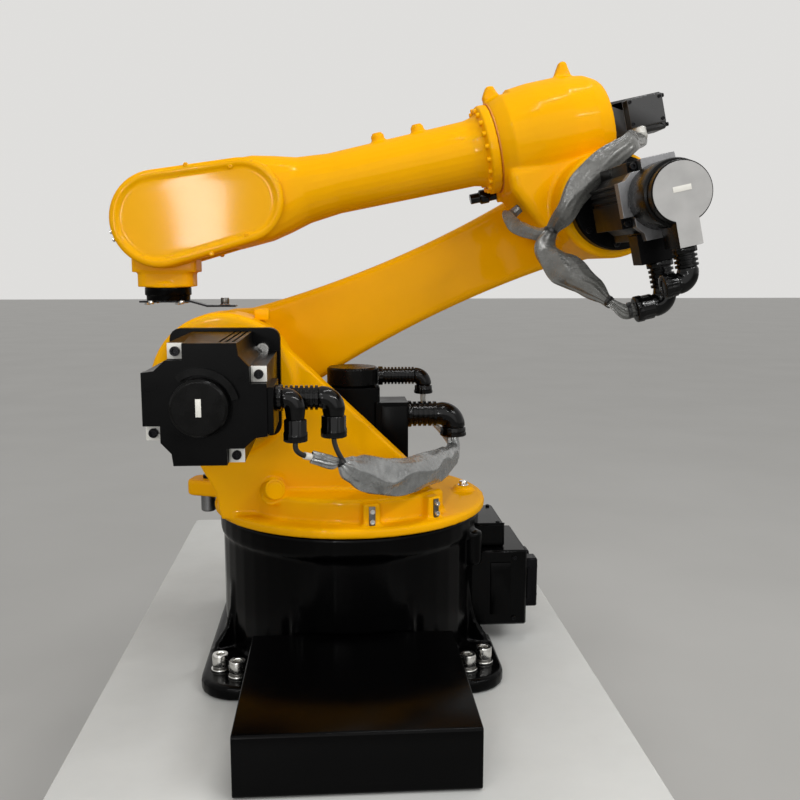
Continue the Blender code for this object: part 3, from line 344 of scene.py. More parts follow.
def fixings(name, matrix, spots, direction, profile, look, body, count=24):
    """Like fasteners on one body, as separate solids of one piece."""
    bm = bmesh.new()
    for place in spots:
        lathe_into(bm, profile, Matrix.Translation(place) @ facing(direction), count)
    return finish_mesh(name, bm, look, body, matrix)


def block_into(bm, low, high, edge, place=Matrix()):
    """A box with rounded edges."""
    part = bmesh.new()
    bmesh.ops.create_cube(part, size=1.0)
    centre = (Vector(low) + Vector(high)) / 2
    size = Vector(high) - Vector(low)
    whole = Matrix.Translation(centre) @ Matrix.Diagonal((*size, 1.0))
    bmesh.ops.transform(part, matrix=whole, verts=part.verts)
    bmesh.ops.bevel(part, geom=list(part.edges), offset=edge, segments=2, affect="EDGES", profile=0.5)
    bmesh.ops.transform(part, matrix=place, verts=part.verts)
    mesh = bpy.data.meshes.new("block")
    part.to_mesh(mesh)
    part.free()
    bm.from_mesh(mesh)
    bpy.data.meshes.remove(mesh)


def block(name, matrix, low, high, look, body, edge=0.001):
    bm = bmesh.new()
    block_into(bm, low, high, edge)
    return finish_mesh(name, bm, look, body, matrix)


def arc(centre, radius, start, end, steps):
    return [(centre[0] + radius * cos(start + (end - start) * i / steps),
             centre[1] + radius * sin(start + (end - start) * i / steps)) for i in range(steps + 1)]


def slot_outline(first, first_radius, second, second_radius, steps=28):
    """Two circles and the straight tangents that join them."""
    dx, dz = second[0] - first[0], second[1] - first[1]
    heading = atan2(dz, dx)
    lean = acos((first_radius - second_radius) / hypot(dx, dz))
    return (arc(second, second_radius, heading - lean, heading + lean, steps)
            + arc(first, first_radius, heading + lean, heading + 2 * pi - lean, steps))


def plate_into(bm, layers):
    """Outlines in the XZ plane at their y, skinned into one solid."""
    rings_into(bm, [[(x, y, z) for x, z in outline] for y, outline in layers])


def curve(knots, values, steps):
    """Catmull-Rom curve through the knots, with the values carried smoothly along it."""
    points, carried = [], []
    last = len(knots) - 1

    def blend(quad, t):
        return 0.5 * ((2 * quad[1]) + (quad[2] - quad[0]) * t
                      + (2 * quad[0] - 5 * quad[1] + 4 * quad[2] - quad[3]) * t ** 2
                      + (3 * quad[1] - quad[0] - 3 * quad[2] + quad[3]) * t ** 3)
    for i in range(last):
        near = [max(0, min(last, i + k)) for k in (-1, 0, 1, 2)]
        for step in range(steps):
            t = step / steps
            points.append(blend([Vector(knots[k]) for k in near], t))
            ease = t * t * (3 - 2 * t)
            carried.append(values[i] + (values[i + 1] - values[i]) * ease)
    return points + [Vector(knots[-1])], carried + [values[-1]]


def headings(path, ends=(None, None)):
    """Direction of travel at each point of a path."""
    ahead = [(path[min(i + 1, len(path) - 1)] - path[max(i - 1, 0)]).normalized() for i in range(len(path))]
    if ends[0]:
        ahead[0] = Vector(ends[0])
    if ends[1]:
        ahead[-1] = Vector(ends[1])
    return ahead


# ---- CAD nodes: castings get rounded corners, the rest keep their form with eased edges ----

CREASE_ANGLE = radians(36)


def settle(made):
    graph = bpy.context.evaluated_depsgraph_get()
    mesh = bpy.data.meshes.new_from_object(made.evaluated_get(graph))
    made.modifiers.clear()
    made.data = mesh


def recast(node, grid, rounds):
    """A copy of a casting whose inner and outer corners are rounded as a foundry leaves them."""
    made = put(node + "_cast", NODES[node].data.copy(), LOOKS[SLOT_OF[node]], NODES[node]["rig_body"])
    weld = made.modifiers.new("weld", "WELD")
    weld.merge_threshold = 1e-5
    remesh = made.modifiers.new("grid", "REMESH")
    remesh.mode = "VOXEL"
    remesh.voxel_size = grid
    soft = made.modifiers.new("soft", "SMOOTH")
    soft.factor = 0.5
    soft.iterations = rounds
    settle(made)
    made.data.shade_smooth()
    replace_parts(made, node)
    return made


def restore(node, edge, look=None):
    """A copy of a node with whole flats, round drums and eased edges."""
    bm = bmesh.new()
    bm.from_mesh(NODES[node].data)
    bmesh.ops.remove_doubles(bm, verts=bm.verts, dist=2e-6)
    bmesh.ops.dissolve_limit(bm, angle_limit=radians(0.4), verts=bm.verts, edges=bm.edges)
    mesh = bpy.data.meshes.new(node + "_look")
    bm.to_mesh(mesh)
    bm.free()
    mesh.shade_smooth()
    mesh.set_sharp_from_angle(angle=CREASE_ANGLE)
    made = put(node + "_look", mesh, look or LOOKS[SLOT_OF[node]], NODES[node]["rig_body"])
    rim = made.modifiers.new("edge", "BEVEL")
    rim.width = edge
    rim.segments = 2
    rim.limit_method = "ANGLE"
    rim.angle_limit = CREASE_ANGLE
    rim.harden_normals = True
    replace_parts(made, node)
    return made


# Voxel size and rounds of smoothing of each casting.
CASTINGS = {
    "turntable_casting": (0.0042, 4), "base_casting": (0.0048, 3), "lower_arm": (0.0042, 5),
    "elbow_casting": (0.0032, 7), "forearm_casting": (0.0032, 4), "wrist_block": (0.0020, 3),
}
OWN_LOOKS = {"roll_motor": SATIN_BLACK, "tool_bracket": DARK_STEEL, "power_connector": CONNECTOR_HOOD,
             "signal_connector": CONNECTOR_HOOD}
REBUILT = {"elbow_motor_cap", "wrist_cover_near", "wrist_cover_far", "lower_cable_sleeve",
           "upper_cable_sleeve"}
PLUG_NODES = {place + "_" + kind + "_plug"
              for place in ("shoulder", "column", "elbow") for kind in ("signal", "power")}


def lower_ring_lug(casting):
    """Brings the lug over the roll ring down to the height of the real one."""
    to_elbow, root, share, ring_end = ELBOW.inverted(), ROLL_RISE + 0.096, 0.55, -0.130
    for vertex in casting.data.vertices:
        place = to_elbow @ vertex.co
        if place.x < ring_end and place.z > root:
            place.z = root + (place.z - root) * share
            vertex.co = ELBOW @ place


def dress_nodes():
    for node in sorted(NODES):
        if node in CASTINGS:
            casting = recast(node, *CASTINGS[node])
            if node == "elbow_casting":
                lower_ring_lug(casting)
        elif node not in REBUILT and node not in PLUG_NODES:
            edge = 0.0020 if node.startswith(("plinth", "front")) else 0.0010
            restore(node, edge, OWN_LOOKS.get(node))


# ---- Right-angle plugs ----

def plug(node, matrix, start, heading, run, radius, drop, away=(0, 0, -1)):
    """Moulded connector: knurled nut, ribbed barrel, smooth elbow and a knurled cable nut."""
    start, heading, away = Vector(start), Vector(heading), Vector(away)
    across = heading.cross(away)
    wide, high, low = radius + 0.0025, radius + 0.0012, radius - 0.0026
    straight, down = run - radius, drop - radius
    stations = [(0.0, wide - 0.001, 0), (0.001, wide, 1), (0.009, wide, 1), (0.010, wide - 0.001, 0),
                (0.0106, low, 0)]
    pitch = 0.42 * radius
    reach = 0.0130
    while reach + pitch < straight:
        stations += [(reach, low, 0), (reach + 0.0008, high, 0), (reach + 0.62 * pitch, high, 0),
                     (reach + 0.72 * pitch, low, 0)]
        reach += pitch
    rings = [(start + heading * along, heading, size, knurl)
             for along, size, knurl in stations if along <= straight]
    corner = start + heading * run
    for i in range(11):
        a = pi / 2 * i / 10
        place = corner - heading * radius * (1 - sin(a)) + away * radius * (1 - cos(a))
        rings.append((place, heading * cos(a) + away * sin(a), radius - 0.0004, 0))
    nut = min(0.038, 0.84 * down)
    cable_nut = ((down - nut - 0.0008, low, 0), (down - nut, radius, 0), (down - nut + 0.001, high, 1),
                 (down - 0.45 * nut, high, 1), (down - 0.40 * nut, wide, 1), (down - 0.002, wide, 1),
                 (down - 0.0006, wide - 0.0016, 0), (down, wide - 0.004, 0),
                 (down, radius * 0.60, 0), (down - 0.002, radius * 0.56, 0))
    for along, size, knurl in cable_nut:
        rings.append((corner + away * (radius + along), away, size, knurl))
    bm = bmesh.new()
    count = 48
    skin = []
    for place, ahead, size, knurl in rings:
        other = ahead.cross(across)
        ring = []
        for k in range(count):
            reach = size - (0.0013 if knurl and k % 3 == 0 else 0.0)
            angle = 2 * pi * k / count
            ring.append(place + across * reach * cos(angle) + other * reach * sin(angle))
        skin.append(ring)
    rings_into(bm, skin)
    made = finish_mesh(node + "_look", bm, RUBBER, NODES[node]["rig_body"], matrix, 40)
    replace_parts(made, node)


def plugs():
    down, back = (0, 0, -1), (-1, 0, 0)
    plug("shoulder_signal_plug", TURN, (-0.1307, -0.455, 0.601), (1, 0, 0), 0.033, 0.018, 0.074)
    plug("shoulder_power_plug", TURN, (-0.1307, -0.400, 0.594), (1, 0, 0), 0.097, 0.0205, 0.070)
    plug("column_signal_plug", TURN, (0.0633, 0.030, 0.581), (1, 0, 0), 0.100, 0.018, 0.040)
    plug("column_power_plug", TURN, (0.1253, 0.013, 0.498), (1, 0, 0), 0.103, 0.0265, 0.050)
    plug("elbow_signal_plug", ELBOW, (0.004, -0.500, -0.0923), down, 0.057, 0.018, 0.046, back)
    plug("elbow_power_plug", ELBOW, (-0.004, -0.3965, -0.1133), down, 0.074, 0.0205, 0.058, back)


# ---- Cable sleeves and leads ----

FOLD_SIZES = ((12.5, 1.0), (24.0, 0.25))    # scale of the noise, and share of the height


def crease(point):
    """Height of limp vinyl at a point: sharp folds of two sizes."""
    height = 0.0
    for scale, share in FOLD_SIZES:
        height += share * (0.55 - 2.2 * abs(noise.noise(point * scale)))
    return height


def sleeve_into(bm, knots, radii, flat, broad, seed, steps=20, count=96, ends=(None, None)):
    """Limp sleeving along a path: broad and angular where it is loose, round and pleated where it is tied."""
    pleats = 9
    path, sizes = curve(knots, radii, steps)
    ahead = headings(path, ends)
    widest = max(radii)
    rings, travel = [], 0.0
    for i, point in enumerate(path):
        if i:
            travel += (point - path[i - 1]).length
        across = ahead[i].cross(Vector(broad)).normalized()
        other = ahead[i].cross(across)
        size = sizes[i]
        tight = max(0.0, 1 - size / widest)
        twist = 1.1 * noise.noise(Vector((travel * 9, seed, 0.0)))
        boxy = 1.18 + 0.82 * tight
        ring = []
        for k in range(count):
            angle = 2 * pi * k / count
            pleat = 0.26 * tight ** 2 * sin(pleats * angle + seed + 2.0 * sin(travel * 30))
            place = Vector((travel * 0.5, widest * cos(angle), widest * 0.8 * sin(angle)))
            place += Vector((seed, 0, 0))
            fold = (abs(cos(angle + twist)) ** boxy + abs(sin(angle + twist)) ** boxy) ** (-1 / boxy)
            rough = min(size, 0.030) * 0.25 * crease(place) * (1 - 0.6 * tight)
            reach = size * 1.04 * fold * (1 + pleat) + rough
            thin = flat * abs(sin(angle)) ** (0.35 * (1 - tight))
            ring.append(point + across * reach * cos(angle) + other * reach * thin * sin(angle))
        rings.append(ring)
    rings_into(bm, rings)


def tube_into(bm, knots, radius, steps=8, count=16, ends=(None, None)):
    path = curve(knots, [radius] * len(knots), steps)[0]
    ahead = headings(path, ends)
    side = ahead[0].orthogonal().normalized()
    rings = []
    for point, along in zip(path, ahead):
        side = (side - along * side.dot(along)).normalized()
        other = along.cross(side)
        turns = [2 * pi * k / count for k in range(count)]
        rings.append([point + side * radius * cos(turn) + other * radius * sin(turn) for turn in turns])
    rings_into(bm, rings)


def tie_into(bm, point, along, radius, width=0.005, thick=0.0016, tail=(0, 0, -1)):
    """Cable tie pulled tight round a sleeve, with its head and cut tail."""
    place = Matrix.Translation(point) @ facing(along)
    half = width / 2
    inner, outer = radius * 0.7, radius + thick
    lathe_into(bm, [(inner, -half), (outer, -half), (outer, half), (inner, half)], place, 24)
    out = Vector(tail) - Vector(along) * Vector(tail).dot(Vector(along))
    head = Matrix.Translation(Vector(point) + out.normalized() * (radius + thick)) @ facing(along)
    block_into(bm, (-0.0035, -0.003, -0.0035), (0.0035, 0.003, 0.0035), 0.0006, head)


def lower_sleeve():
    bag_end = Vector((0.2283, 0.013, 0.448))
    knots = [(-0.072, -0.427, 0.4945), (-0.040, -0.412, 0.4815), (-0.0256, -0.400, 0.4785),
             (-0.006, -0.385, 0.463), (0.021, -0.360, 0.449), (0.073, -0.310, 0.431),
             (0.130, -0.255, 0.429), (0.184, -0.150, 0.421), (0.215, -0.045, 0.414),
             (bag_end.x, bag_end.y - 0.010, 0.423), (*bag_end.xy, bag_end.z - 0.0003)]
    radii = [0.0095, 0.0105, 0.0065, 0.021, 0.029, 0.034, 0.033, 0.029, 0.022, 0.015, 0.012]
    bm = bmesh.new()
    sleeve_into(bm, knots, radii, 0.66, (0.35, -0.9, 0.25), 3.1, ends=(None, (0, 0, 1)))
    # The bag's paler vinyl is painted light where it faces up, on top of a real silvery film.
    made = finish_mesh("lower_sleeve_bag", bm, VINYL_PALE_PAINTED_LIGHT, COLUMN, TURN, 180)
    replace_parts(made, "lower_cable_sleeve")

    bm = bmesh.new()
    lead = 0.0045
    tube_into(bm, [(-0.0977, -0.455, 0.530), (-0.0975, -0.4545, 0.514), (-0.088, -0.445, 0.5025),
                   (-0.072, -0.427, 0.4945), (-0.050, -0.417, 0.486)], lead, ends=((0, 0, -1), None))
    tube_into(bm, [(-0.0337, -0.400, 0.530), (-0.0325, -0.400, 0.513), (-0.0245, -0.398, 0.492),
                   (-0.013, -0.392, 0.474), (0.004, -0.378, 0.461)], lead, ends=((0, 0, -1), None))
    finish_mesh("shoulder_motor_leads", bm, TIE_BLACK, COLUMN, TURN, 180)

    bm = bmesh.new()
    sheath = 0.0060
    tube_into(bm, [(0.1633, 0.030, 0.544), (0.1633, 0.036, 0.530), (0.167, 0.050, 0.512),
                   (0.181, 0.054, 0.480), (0.206, 0.046, 0.452), (0.222, 0.020, 0.430),
                   (0.222, -0.012, 0.420)], sheath, ends=((0, 0, -1), None))
    finish_mesh("column_signal_sheath", bm, TAPE_PALE, COLUMN, TURN, 180)

    bm = bmesh.new()
    tube_into(bm, [(-0.0840, -0.4400, 0.5000), (-0.0745, -0.4300, 0.4956)], 0.0062, 2)
    finish_mesh("white_ferrule", bm, LABEL_WHITE, COLUMN, TURN, 50)

    bm = bmesh.new()
    along = Vector((0.034, 0.027, -0.0185)).normalized()
    tie_into(bm, (-0.0256, -0.400, 0.4785), along, 0.0066, tail=(0, -1, 0.4))
    finish_mesh("lower_sleeve_tie", bm, TIE_BLACK, COLUMN, TURN, 40)


WEB_TIP, WEB_HEEL = Vector((-0.172, 0.0, 0.070)), Vector((-0.120, 0.0, -0.030))


def upper_sleeve():
    start, last = Vector((0.122, -0.052, 0.142)), Vector((-0.062, -0.3965, -0.187))
    knots = [start, start + Vector((-0.002, -0.006, -0.018)), (0.111, -0.084, 0.117),
             (0.086, -0.122, 0.1135), (0.066, -0.168, 0.113), (0.041, -0.222, 0.103),
             (-0.0166, -0.238, 0.082), (-0.070, -0.238, 0.046), (-0.1075, -0.232, 0.0022),
             (-0.134, -0.203, -0.0245), (-0.1585, -0.225, -0.060), (-0.139, -0.280, -0.0986),
             (-0.1176, -0.335, -0.1356), (-0.1030, -0.378, -0.1617), (-0.0963, -0.392, -0.1702),
             last - Vector((0.017, 0, 0)), last - Vector((0.0003, 0, 0))]
    radii = [0.011, 0.012, 0.0145, 0.018, 0.018, 0.019, 0.022, 0.025, 0.021, 0.012, 0.027, 0.033,
             0.023, 0.0095, 0.0072, 0.0115, 0.0105]
    bm = bmesh.new()
    sleeve_into(bm, knots, radii, 0.52, (0.1, -1, 0.1), 7.7, ends=((0, 0, -1), (1, 0, 0)))
    along = (WEB_HEEL - WEB_TIP).normalized()
    out = Vector((along.z, 0, -along.x))
    root = WEB_TIP + along * 0.040 + Vector((0, -0.045, 0))
    branch = [root + out * 0.0003, root + out * 0.022, (-0.188, -0.085, 0.022), (-0.182, -0.130, -0.004),
              (-0.158, -0.180, -0.024), (-0.136, -0.203, -0.0265)]
    radii = [0.009, 0.011, 0.016, 0.018, 0.014, 0.010]
    sleeve_into(bm, branch, radii, 0.75, (0.2, -1, 0.3), 11.3, ends=(out, None))
    # The upper sleeve's darker vinyl is painted shade.
    made = finish_mesh("upper_sleeve_bag", bm, VINYL_PAINTED_SHADE, ELBOW_LINK, ELBOW, 180)
    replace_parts(made, "upper_cable_sleeve")

    bm = bmesh.new()
    along = Vector((0.020, -0.040, -0.024)).normalized()
    tie_into(bm, (-0.1000, -0.385, -0.1660), along, 0.0085, 0.006, tail=(0, -0.3, 1))
    tie_into(bm, last - Vector((0.010, 0, 0)), Vector((1, 0, 0)), 0.0112, 0.005, tail=(0, -0.4, 1))
    along = Vector((-0.6, 0.0, -0.8)).normalized()
    tie_into(bm, (-0.134, -0.203, -0.0245), along, 0.0100, 0.005, tail=(-1, 0, 0))
    finish_mesh("upper_sleeve_ties", bm, TIE_BLACK, ELBOW_LINK, ELBOW, 40)

    bm = bmesh.new()
    wrap = [start, start + Vector((-0.001, -0.003, -0.010)), start + Vector((-0.0035, -0.012, -0.021))]
    tube_into(bm, wrap, 0.0138, 6, 24, ends=((0, 0, -1), None))
    finish_mesh("roll_motor_tape", bm, TAPE_PALE, ELBOW_LINK, ELBOW, 180)


# ---- Wrist covers ----

def wrist_covers():
    """Pressed covers of the forked wrist: a broad rounded rim round a sunk face."""
    inner, front, rear = 0.0843, 0.098, 0.086
    section = [(0.0, 0.0020), (0.0030, 0.0018), (0.0055, 0.0030), (0.0074, 0.0052), (0.0086, 0.0082),
               (0.0090, 0.0115), (0.0085, 0.0145), (0.0071, 0.0170), (0.0054, 0.0190), (0.0044, 0.0215),
               (0.0042, 0.0260)]
    screw = [(0.0052, 0.0), (0.0052, 0.0068), (0.0040, 0.0080), (0.0022, 0.0080), (0.0020, 0.0066)]
    for name, side in (("near", -1), ("far", 1)):
        bm = bmesh.new()
        plate_into(bm, [(side * (inner + depth),
                         slot_outline((FORK, 0.0), front - inset, (FORK + HEAD_LENGTH, 0.0), rear - inset))
                        for depth, inset in section])
        for x, z in ((-0.8003, 0.0895), (-0.7937, -0.0895), (-0.716, 0.0690), (-0.716, -0.0690)):
            place = Matrix.Translation((x, side * (inner + 0.001), z)) @ facing((0, side, 0))
            lathe_into(bm, screw, place, 16)
        made = finish_mesh("wrist_cover_%s_pressed" % name, bm, YELLOW, FOREARM, ROLL, 50)
        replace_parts(made, "wrist_cover_" + name)


# ---- Fasteners and small fittings ----

def quarter_turns(x, z):
    """A point and its copies at 90, 180 and 270 degrees."""
    spots = []
    for _ in range(4):
        spots.append((x, z))
        x, z = -z, x
    return spots


def base_fasteners():
    up, near, washer, spring = (0, 0, 1), (0, -1, 0), 0.004, 0.0045
    spots = [(sx * x, sy * y)
             for x, y in ((0.263, 0.232), (0.226, 0.266)) for sx in (-1, 1) for sy in (-1, 1)]
    seats = [[(x, y, FLANGE_TOP + rise) for x, y in spots] for rise in (0.0, washer, washer + spring)]
    fixings("base_flange_washers", TURN, seats[0], up, washer_profile(0.0190, washer), ZINC, BASE, 32)
    fixings("base_flange_spring_washers", TURN, seats[1], up, washer_profile(0.0152, spring),
            STEEL, BASE, 32)
    fixings("base_flange_bolts", TURN, seats[2], up, socket_profile(0.0160, 0.0235), ZINC, BASE, 36)
    face = [(x, HOUSING_FACE, z) for x in (0.262, 0.352) for z in (0.060, 0.196)]
    fixings("housing_front_screws", TURN, face, near, socket_profile(0.0048, 0.004), DARK_STEEL, BASE)
    lid = [(x, y, HOUSING_TOP) for x in (0.262, 0.322) for y in (-0.040, 0.100)]
    fixings("housing_lid_screws", TURN, lid, up, socket_profile(0.0045, 0.004), DARK_STEEL, BASE)
    bm = bmesh.new()
    block_into(bm, (0.300, HOUSING_FACE - 0.0035, 0.070), (0.344, HOUSING_FACE + 0.0005, 0.186), 0.0012)
    block_into(bm, (0.250, -0.058, HOUSING_TOP), (0.334, -0.0565, HOUSING_TOP + 0.0045), 0.0006)
    finish_mesh("housing_cover_plate", bm, GLOSS_BLACK, BASE, TURN)
    spots = [(0.4103, y, z) for y in (-0.035, 0.055) for z in (0.096, 0.160)]
    lock = [(0.0075, -0.004), (0.0075, 0.001), (0.006, 0.0022), (0.003, 0.0022)]
    fixings("connector_locks", TURN, spots, (1, 0, 0), lock, DARK_STEEL, BASE)


def column_fasteners():
    for angle in (-82.2, -53.0):
        turn = TURN @ Matrix.Rotation(radians(angle), 4, "Z")
        label = "front" if angle < -60 else "right"
        low, high = (0.2735, -0.0060, 0.326), (0.2775, 0.0060, 0.364)
        block("deck_pad_clamp_" + label, turn, low, high, STEEL, COLUMN, 0.0008)
        fixings("deck_pad_screws_" + label, turn, [(0.2772, 0.0, 0.335), (0.2772, 0.0, 0.355)], (1, 0, 0),
                socket_profile(0.0050, 0.0050), ZINC, COLUMN)
    up, near = (0, 0, 1), (0, -1, 0)
    x, y, seat, washer = 0.252, 0.012, 0.335, 0.002
    fixings("round_pad_washer", TURN, [(x, y, seat)], up, washer_profile(0.0120, washer), ZINC, COLUMN)
    fixings("round_pad_bolt", TURN, [(x, y, seat + washer)], up, hex_profile(0.0080, 0.0085),
            ZINC, COLUMN)
    reach, a = 0.332, radians(165.7)
    dog = [(reach * cos(a), reach * sin(a), 0.345)]
    fixings("stop_dog_screw", TURN, dog, up, socket_profile(0.0110, 0.008), DARK_STEEL, COLUMN)
    fixings("shoulder_flange_bolt", TURN, [(-0.1685, -0.202, 0.663)], near, socket_profile(0.0120, 0.018),
            ZINC, COLUMN)
    fixings("shoulder_flange_plug", TURN, [(-0.1500, -0.202, 0.650)], near, socket_profile(0.0060, 0.006),
            DARK_STEEL, COLUMN)
    spigot = [(0.0205, -0.012), (0.0205, 0.0275), (0.0192, 0.0290), (0.0165, 0.0290), (0.0160, 0.0276)]
    fixings("deck_spigot", TURN, [(-0.160, -0.188, 0.378)], (0.34, -0.85, 0.30), spigot, YELLOW, COLUMN, 32)

    cx, cz = SHOULDER_MOTOR
    half, front, back = 0.0130, -0.4772, -0.4738
    corners = [(cx + x, cz + z) for x, z in quarter_turns(0.08625, 0.04775)]
    bm = bmesh.new()
    for x, z in corners:
        block_into(bm, (x - half, front, z - half), (x + half, back, z + half), 0.0006)
    finish_mesh("shoulder_motor_pads", bm, PAD_WHITE, COLUMN, TURN)
    fixings("shoulder_motor_screws", TURN, [(x, front, z) for x, z in corners], near,
            socket_profile(0.0078, 0.0085), DARK_STEEL, COLUMN)
    bm = bmesh.new()
    centre, begin, end = (cx - 0.006, cz - 0.002), radians(12), radians(128)
    outline = arc(centre, 0.0630, begin, end, 24) + arc(centre, 0.0520, end, begin, 24)
    plate_into(bm, [(-0.4975, outline), (-0.5110, outline)])
    finish_mesh("shoulder_motor_arc", bm, RUBBER, COLUMN, TURN)
    low, high = (cx - 0.0105, -0.5284, cz - 0.015), (cx - 0.0015, -0.5278, cz + 0.014)
    block("shoulder_motor_label", TURN, low, high, LABEL_WHITE, COLUMN, 0.0001)

    cx, cy = COLUMN_MOTOR
    corners = [(cx + x, cy + y, 0.560) for x, y in quarter_turns(0.049, 0.049)]
    fixings("column_motor_screws", TURN, corners, up, socket_profile(0.0052, 0.006), DARK_STEEL, COLUMN)
    bm = bmesh.new()
    block_into(bm, (0.068, -0.0362, 0.412), (0.122, -0.0335, 0.522), 0.0010)
    finish_mesh("column_terminal_lid", bm, MOTOR_BLACK, COLUMN, TURN)
    block("arm_stop_block", TURN, (-0.192, -0.114, 0.712), (-0.163, -0.086, 0.734), YELLOW, COLUMN, 0.003)


def elbow_fasteners():
    """Fasteners of the elbow link: motor plate, adapter, encoder face and cover, roll motor and terminal
    screws, and the roll seal.
    """
    near = (0, -1, 0)
    cx, cz = ELBOW_MOTOR
    corners = [(cx + x, -0.420, cz + z) for x, z in quarter_turns(0.0587, 0.0325)]
    fixings("elbow_motor_screws", ELBOW, corners, near, socket_profile(0.0058, 0.0085),
            DARK_STEEL, ELBOW_LINK)
    pitch, angles = 0.078, [radians(a) for a in (30, 75, 150, 210, 255, 330)]
    ring = [(cx + pitch * cos(a), -0.215, pitch * sin(a)) for a in angles]
    fixings("elbow_adapter_screws", ELBOW, ring, near, socket_profile(0.0065, 0.0080),
            DARK_STEEL, ELBOW_LINK)
    radius, left, right, low = 0.0480, -0.0185, 0.0195, -0.0865
    begin = atan2(-sqrt(radius ** 2 - right ** 2), right)
    end = atan2(-sqrt(radius ** 2 - left ** 2), left) + 2 * pi
    outline = arc((0, 0), radius, begin, end, 60) + [(left, low), (right, low)]
    outline = [(cx + x, cz + z) for x, z in outline]
    cover_end = 0.5398
    bm = bmesh.new()
    plate_into(bm, [(-cover_end, outline), (-cover_end - 0.001, outline)])
    finish_mesh("encoder_face_plate", bm, FACE_GREY, ELBOW_LINK, ELBOW)
    bm = bmesh.new()
    profile = [(0.0550, 0.4403), (0.0560, 0.4420), (0.0560, 0.5130), (0.0545, 0.5175), (0.0508, 0.5190),
               (0.0502, 0.5385), (0.0490, cover_end)]
    lathe_into(bm, profile, Matrix.Translation((cx, 0, cz)) @ facing(near), 64)
    block_into(bm, (-0.0170, -cover_end, -0.0918), (0.0220, -0.4700, cz), 0.0015)
    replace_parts(finish_mesh("encoder_cover", bm, CAP_GREY, ELBOW_LINK, ELBOW), "elbow_motor_cap")
    low, high = (cx - 0.015, -0.5413, cz + 0.0005), (cx + 0.015, -0.5407, cz + 0.0095)
    block("encoder_label", ELBOW, low, high, LABEL_WHITE, ELBOW_LINK, 0.0001)
    bm = bmesh.new()
    place = ELBOW @ Matrix.Translation((-0.1765, 0.0, ROLL_RISE)) @ facing((-1, 0, 0))
    lathe_into(bm, [(0.0900, -0.0010), (0.0930, -0.0008), (0.0930, 0.0020), (0.0900, 0.0022)], place, 72)
    finish_mesh("roll_seal", bm, SEAL_BROWN, ELBOW_LINK)
    heads = [(0.1883, y, z) for y in (-0.030, 0.030) for z in (ROLL_RISE - 0.030, ROLL_RISE + 0.030)]
    fixings("roll_motor_screws", ELBOW, heads, (1, 0, 0), socket_profile(0.0042, 0.004),
            DARK_STEEL, ELBOW_LINK)
    lid = [(x, -0.066, z) for x in (0.107, 0.170) for z in (0.149, 0.194)]
    fixings("roll_terminal_screws", ELBOW, lid, near, socket_profile(0.0035, 0.003),
            DARK_STEEL, ELBOW_LINK)


def forearm_fasteners():
    count, pitch = 20, 0.0832
    angles = [2 * pi * i / count for i in range(count)]
    ring = [(-0.1990, pitch * cos(a), pitch * sin(a)) for a in angles]
    fixings("roll_ring_bolts", ROLL, ring, (-1, 0, 0), socket_profile(0.0052, 0.0080), YELLOW, FOREARM)
    plugs_at = [(x, 0.0, 0.0800) for x in (-0.325, -0.410)]
    screw_plug = [(0.0105, -0.004), (0.0105, 0.0012), (0.0090, 0.0022), (0.005, 0.0022, 6),
                  (0.005, 0.0002, 6)]
    fixings("tube_plugs", ROLL, plugs_at, (0, 0, 1), screw_plug, YELLOW, FOREARM)
    fittings = [(-0.9760, -0.060, -0.0028), (-0.9745, -0.060, -0.0191)]
    nipple = [(0.0036, -0.004), (0.0036, 0.004), (0.0046, 0.005), (0.0046, 0.008), (0.0030, 0.009)]
    fixings("wrist_fittings", ROLL, fittings, (-1, 0, 0), nipple, ZINC, FOREARM)


def tool_fasteners():
    up, down = (0, 0, 1), (0, 0, -1)
    heads = [(sx * 0.031, sy * 0.0275, 0.0) for sx in (-1, 1) for sy in (-1, 1)]
    fixings("tool_flange_screws", TOOL, heads, down, socket_profile(0.0060, 0.0070), ZINC, TOOL_LINK)
    heads = [(x, 0.0, -0.0044) for x in (-0.044, 0.020)]
    fixings("tool_bracket_screws", TOOL, heads, down, hex_profile(0.0065, 0.0048), ZINC, TOOL_LINK)
    x, seat, washer = 0.1177, -0.0098, 0.0018
    fixings("bracket_washer", TOOL, [(x, 0.0, seat)], up, washer_profile(0.0115, washer),
            ZINC, TOOL_LINK)
    fixings("bracket_bolt", TOOL, [(x, 0.0, seat + washer)], up, socket_profile(0.0090, 0.0130),
            STEEL, TOOL_LINK)


def bead_into(bm, start, end, radius):
    """Weld bead with the ripples of the torch."""
    start, end = Vector(start), Vector(end)
    ahead = (end - start).normalized()
    side = ahead.orthogonal().normalized()
    other = ahead.cross(side)
    ripples = 0.0035
    steps = max(4, int((end - start).length / ripples))
    turns = [2 * pi * k / 8 for k in range(8)]
    rings = []
    for i in range(steps + 1):
        point = start.lerp(end, i / steps)
        ripple = 0.93 + 0.10 * (i % 2) + 0.12 * noise.noise(point * 90)
        size = radius * ripple * (0.55 if i in (0, steps) else 1.0)
        rings.append([point + side * size * cos(turn) + other * size * sin(turn) for turn in turns])
    rings_into(bm, rings)


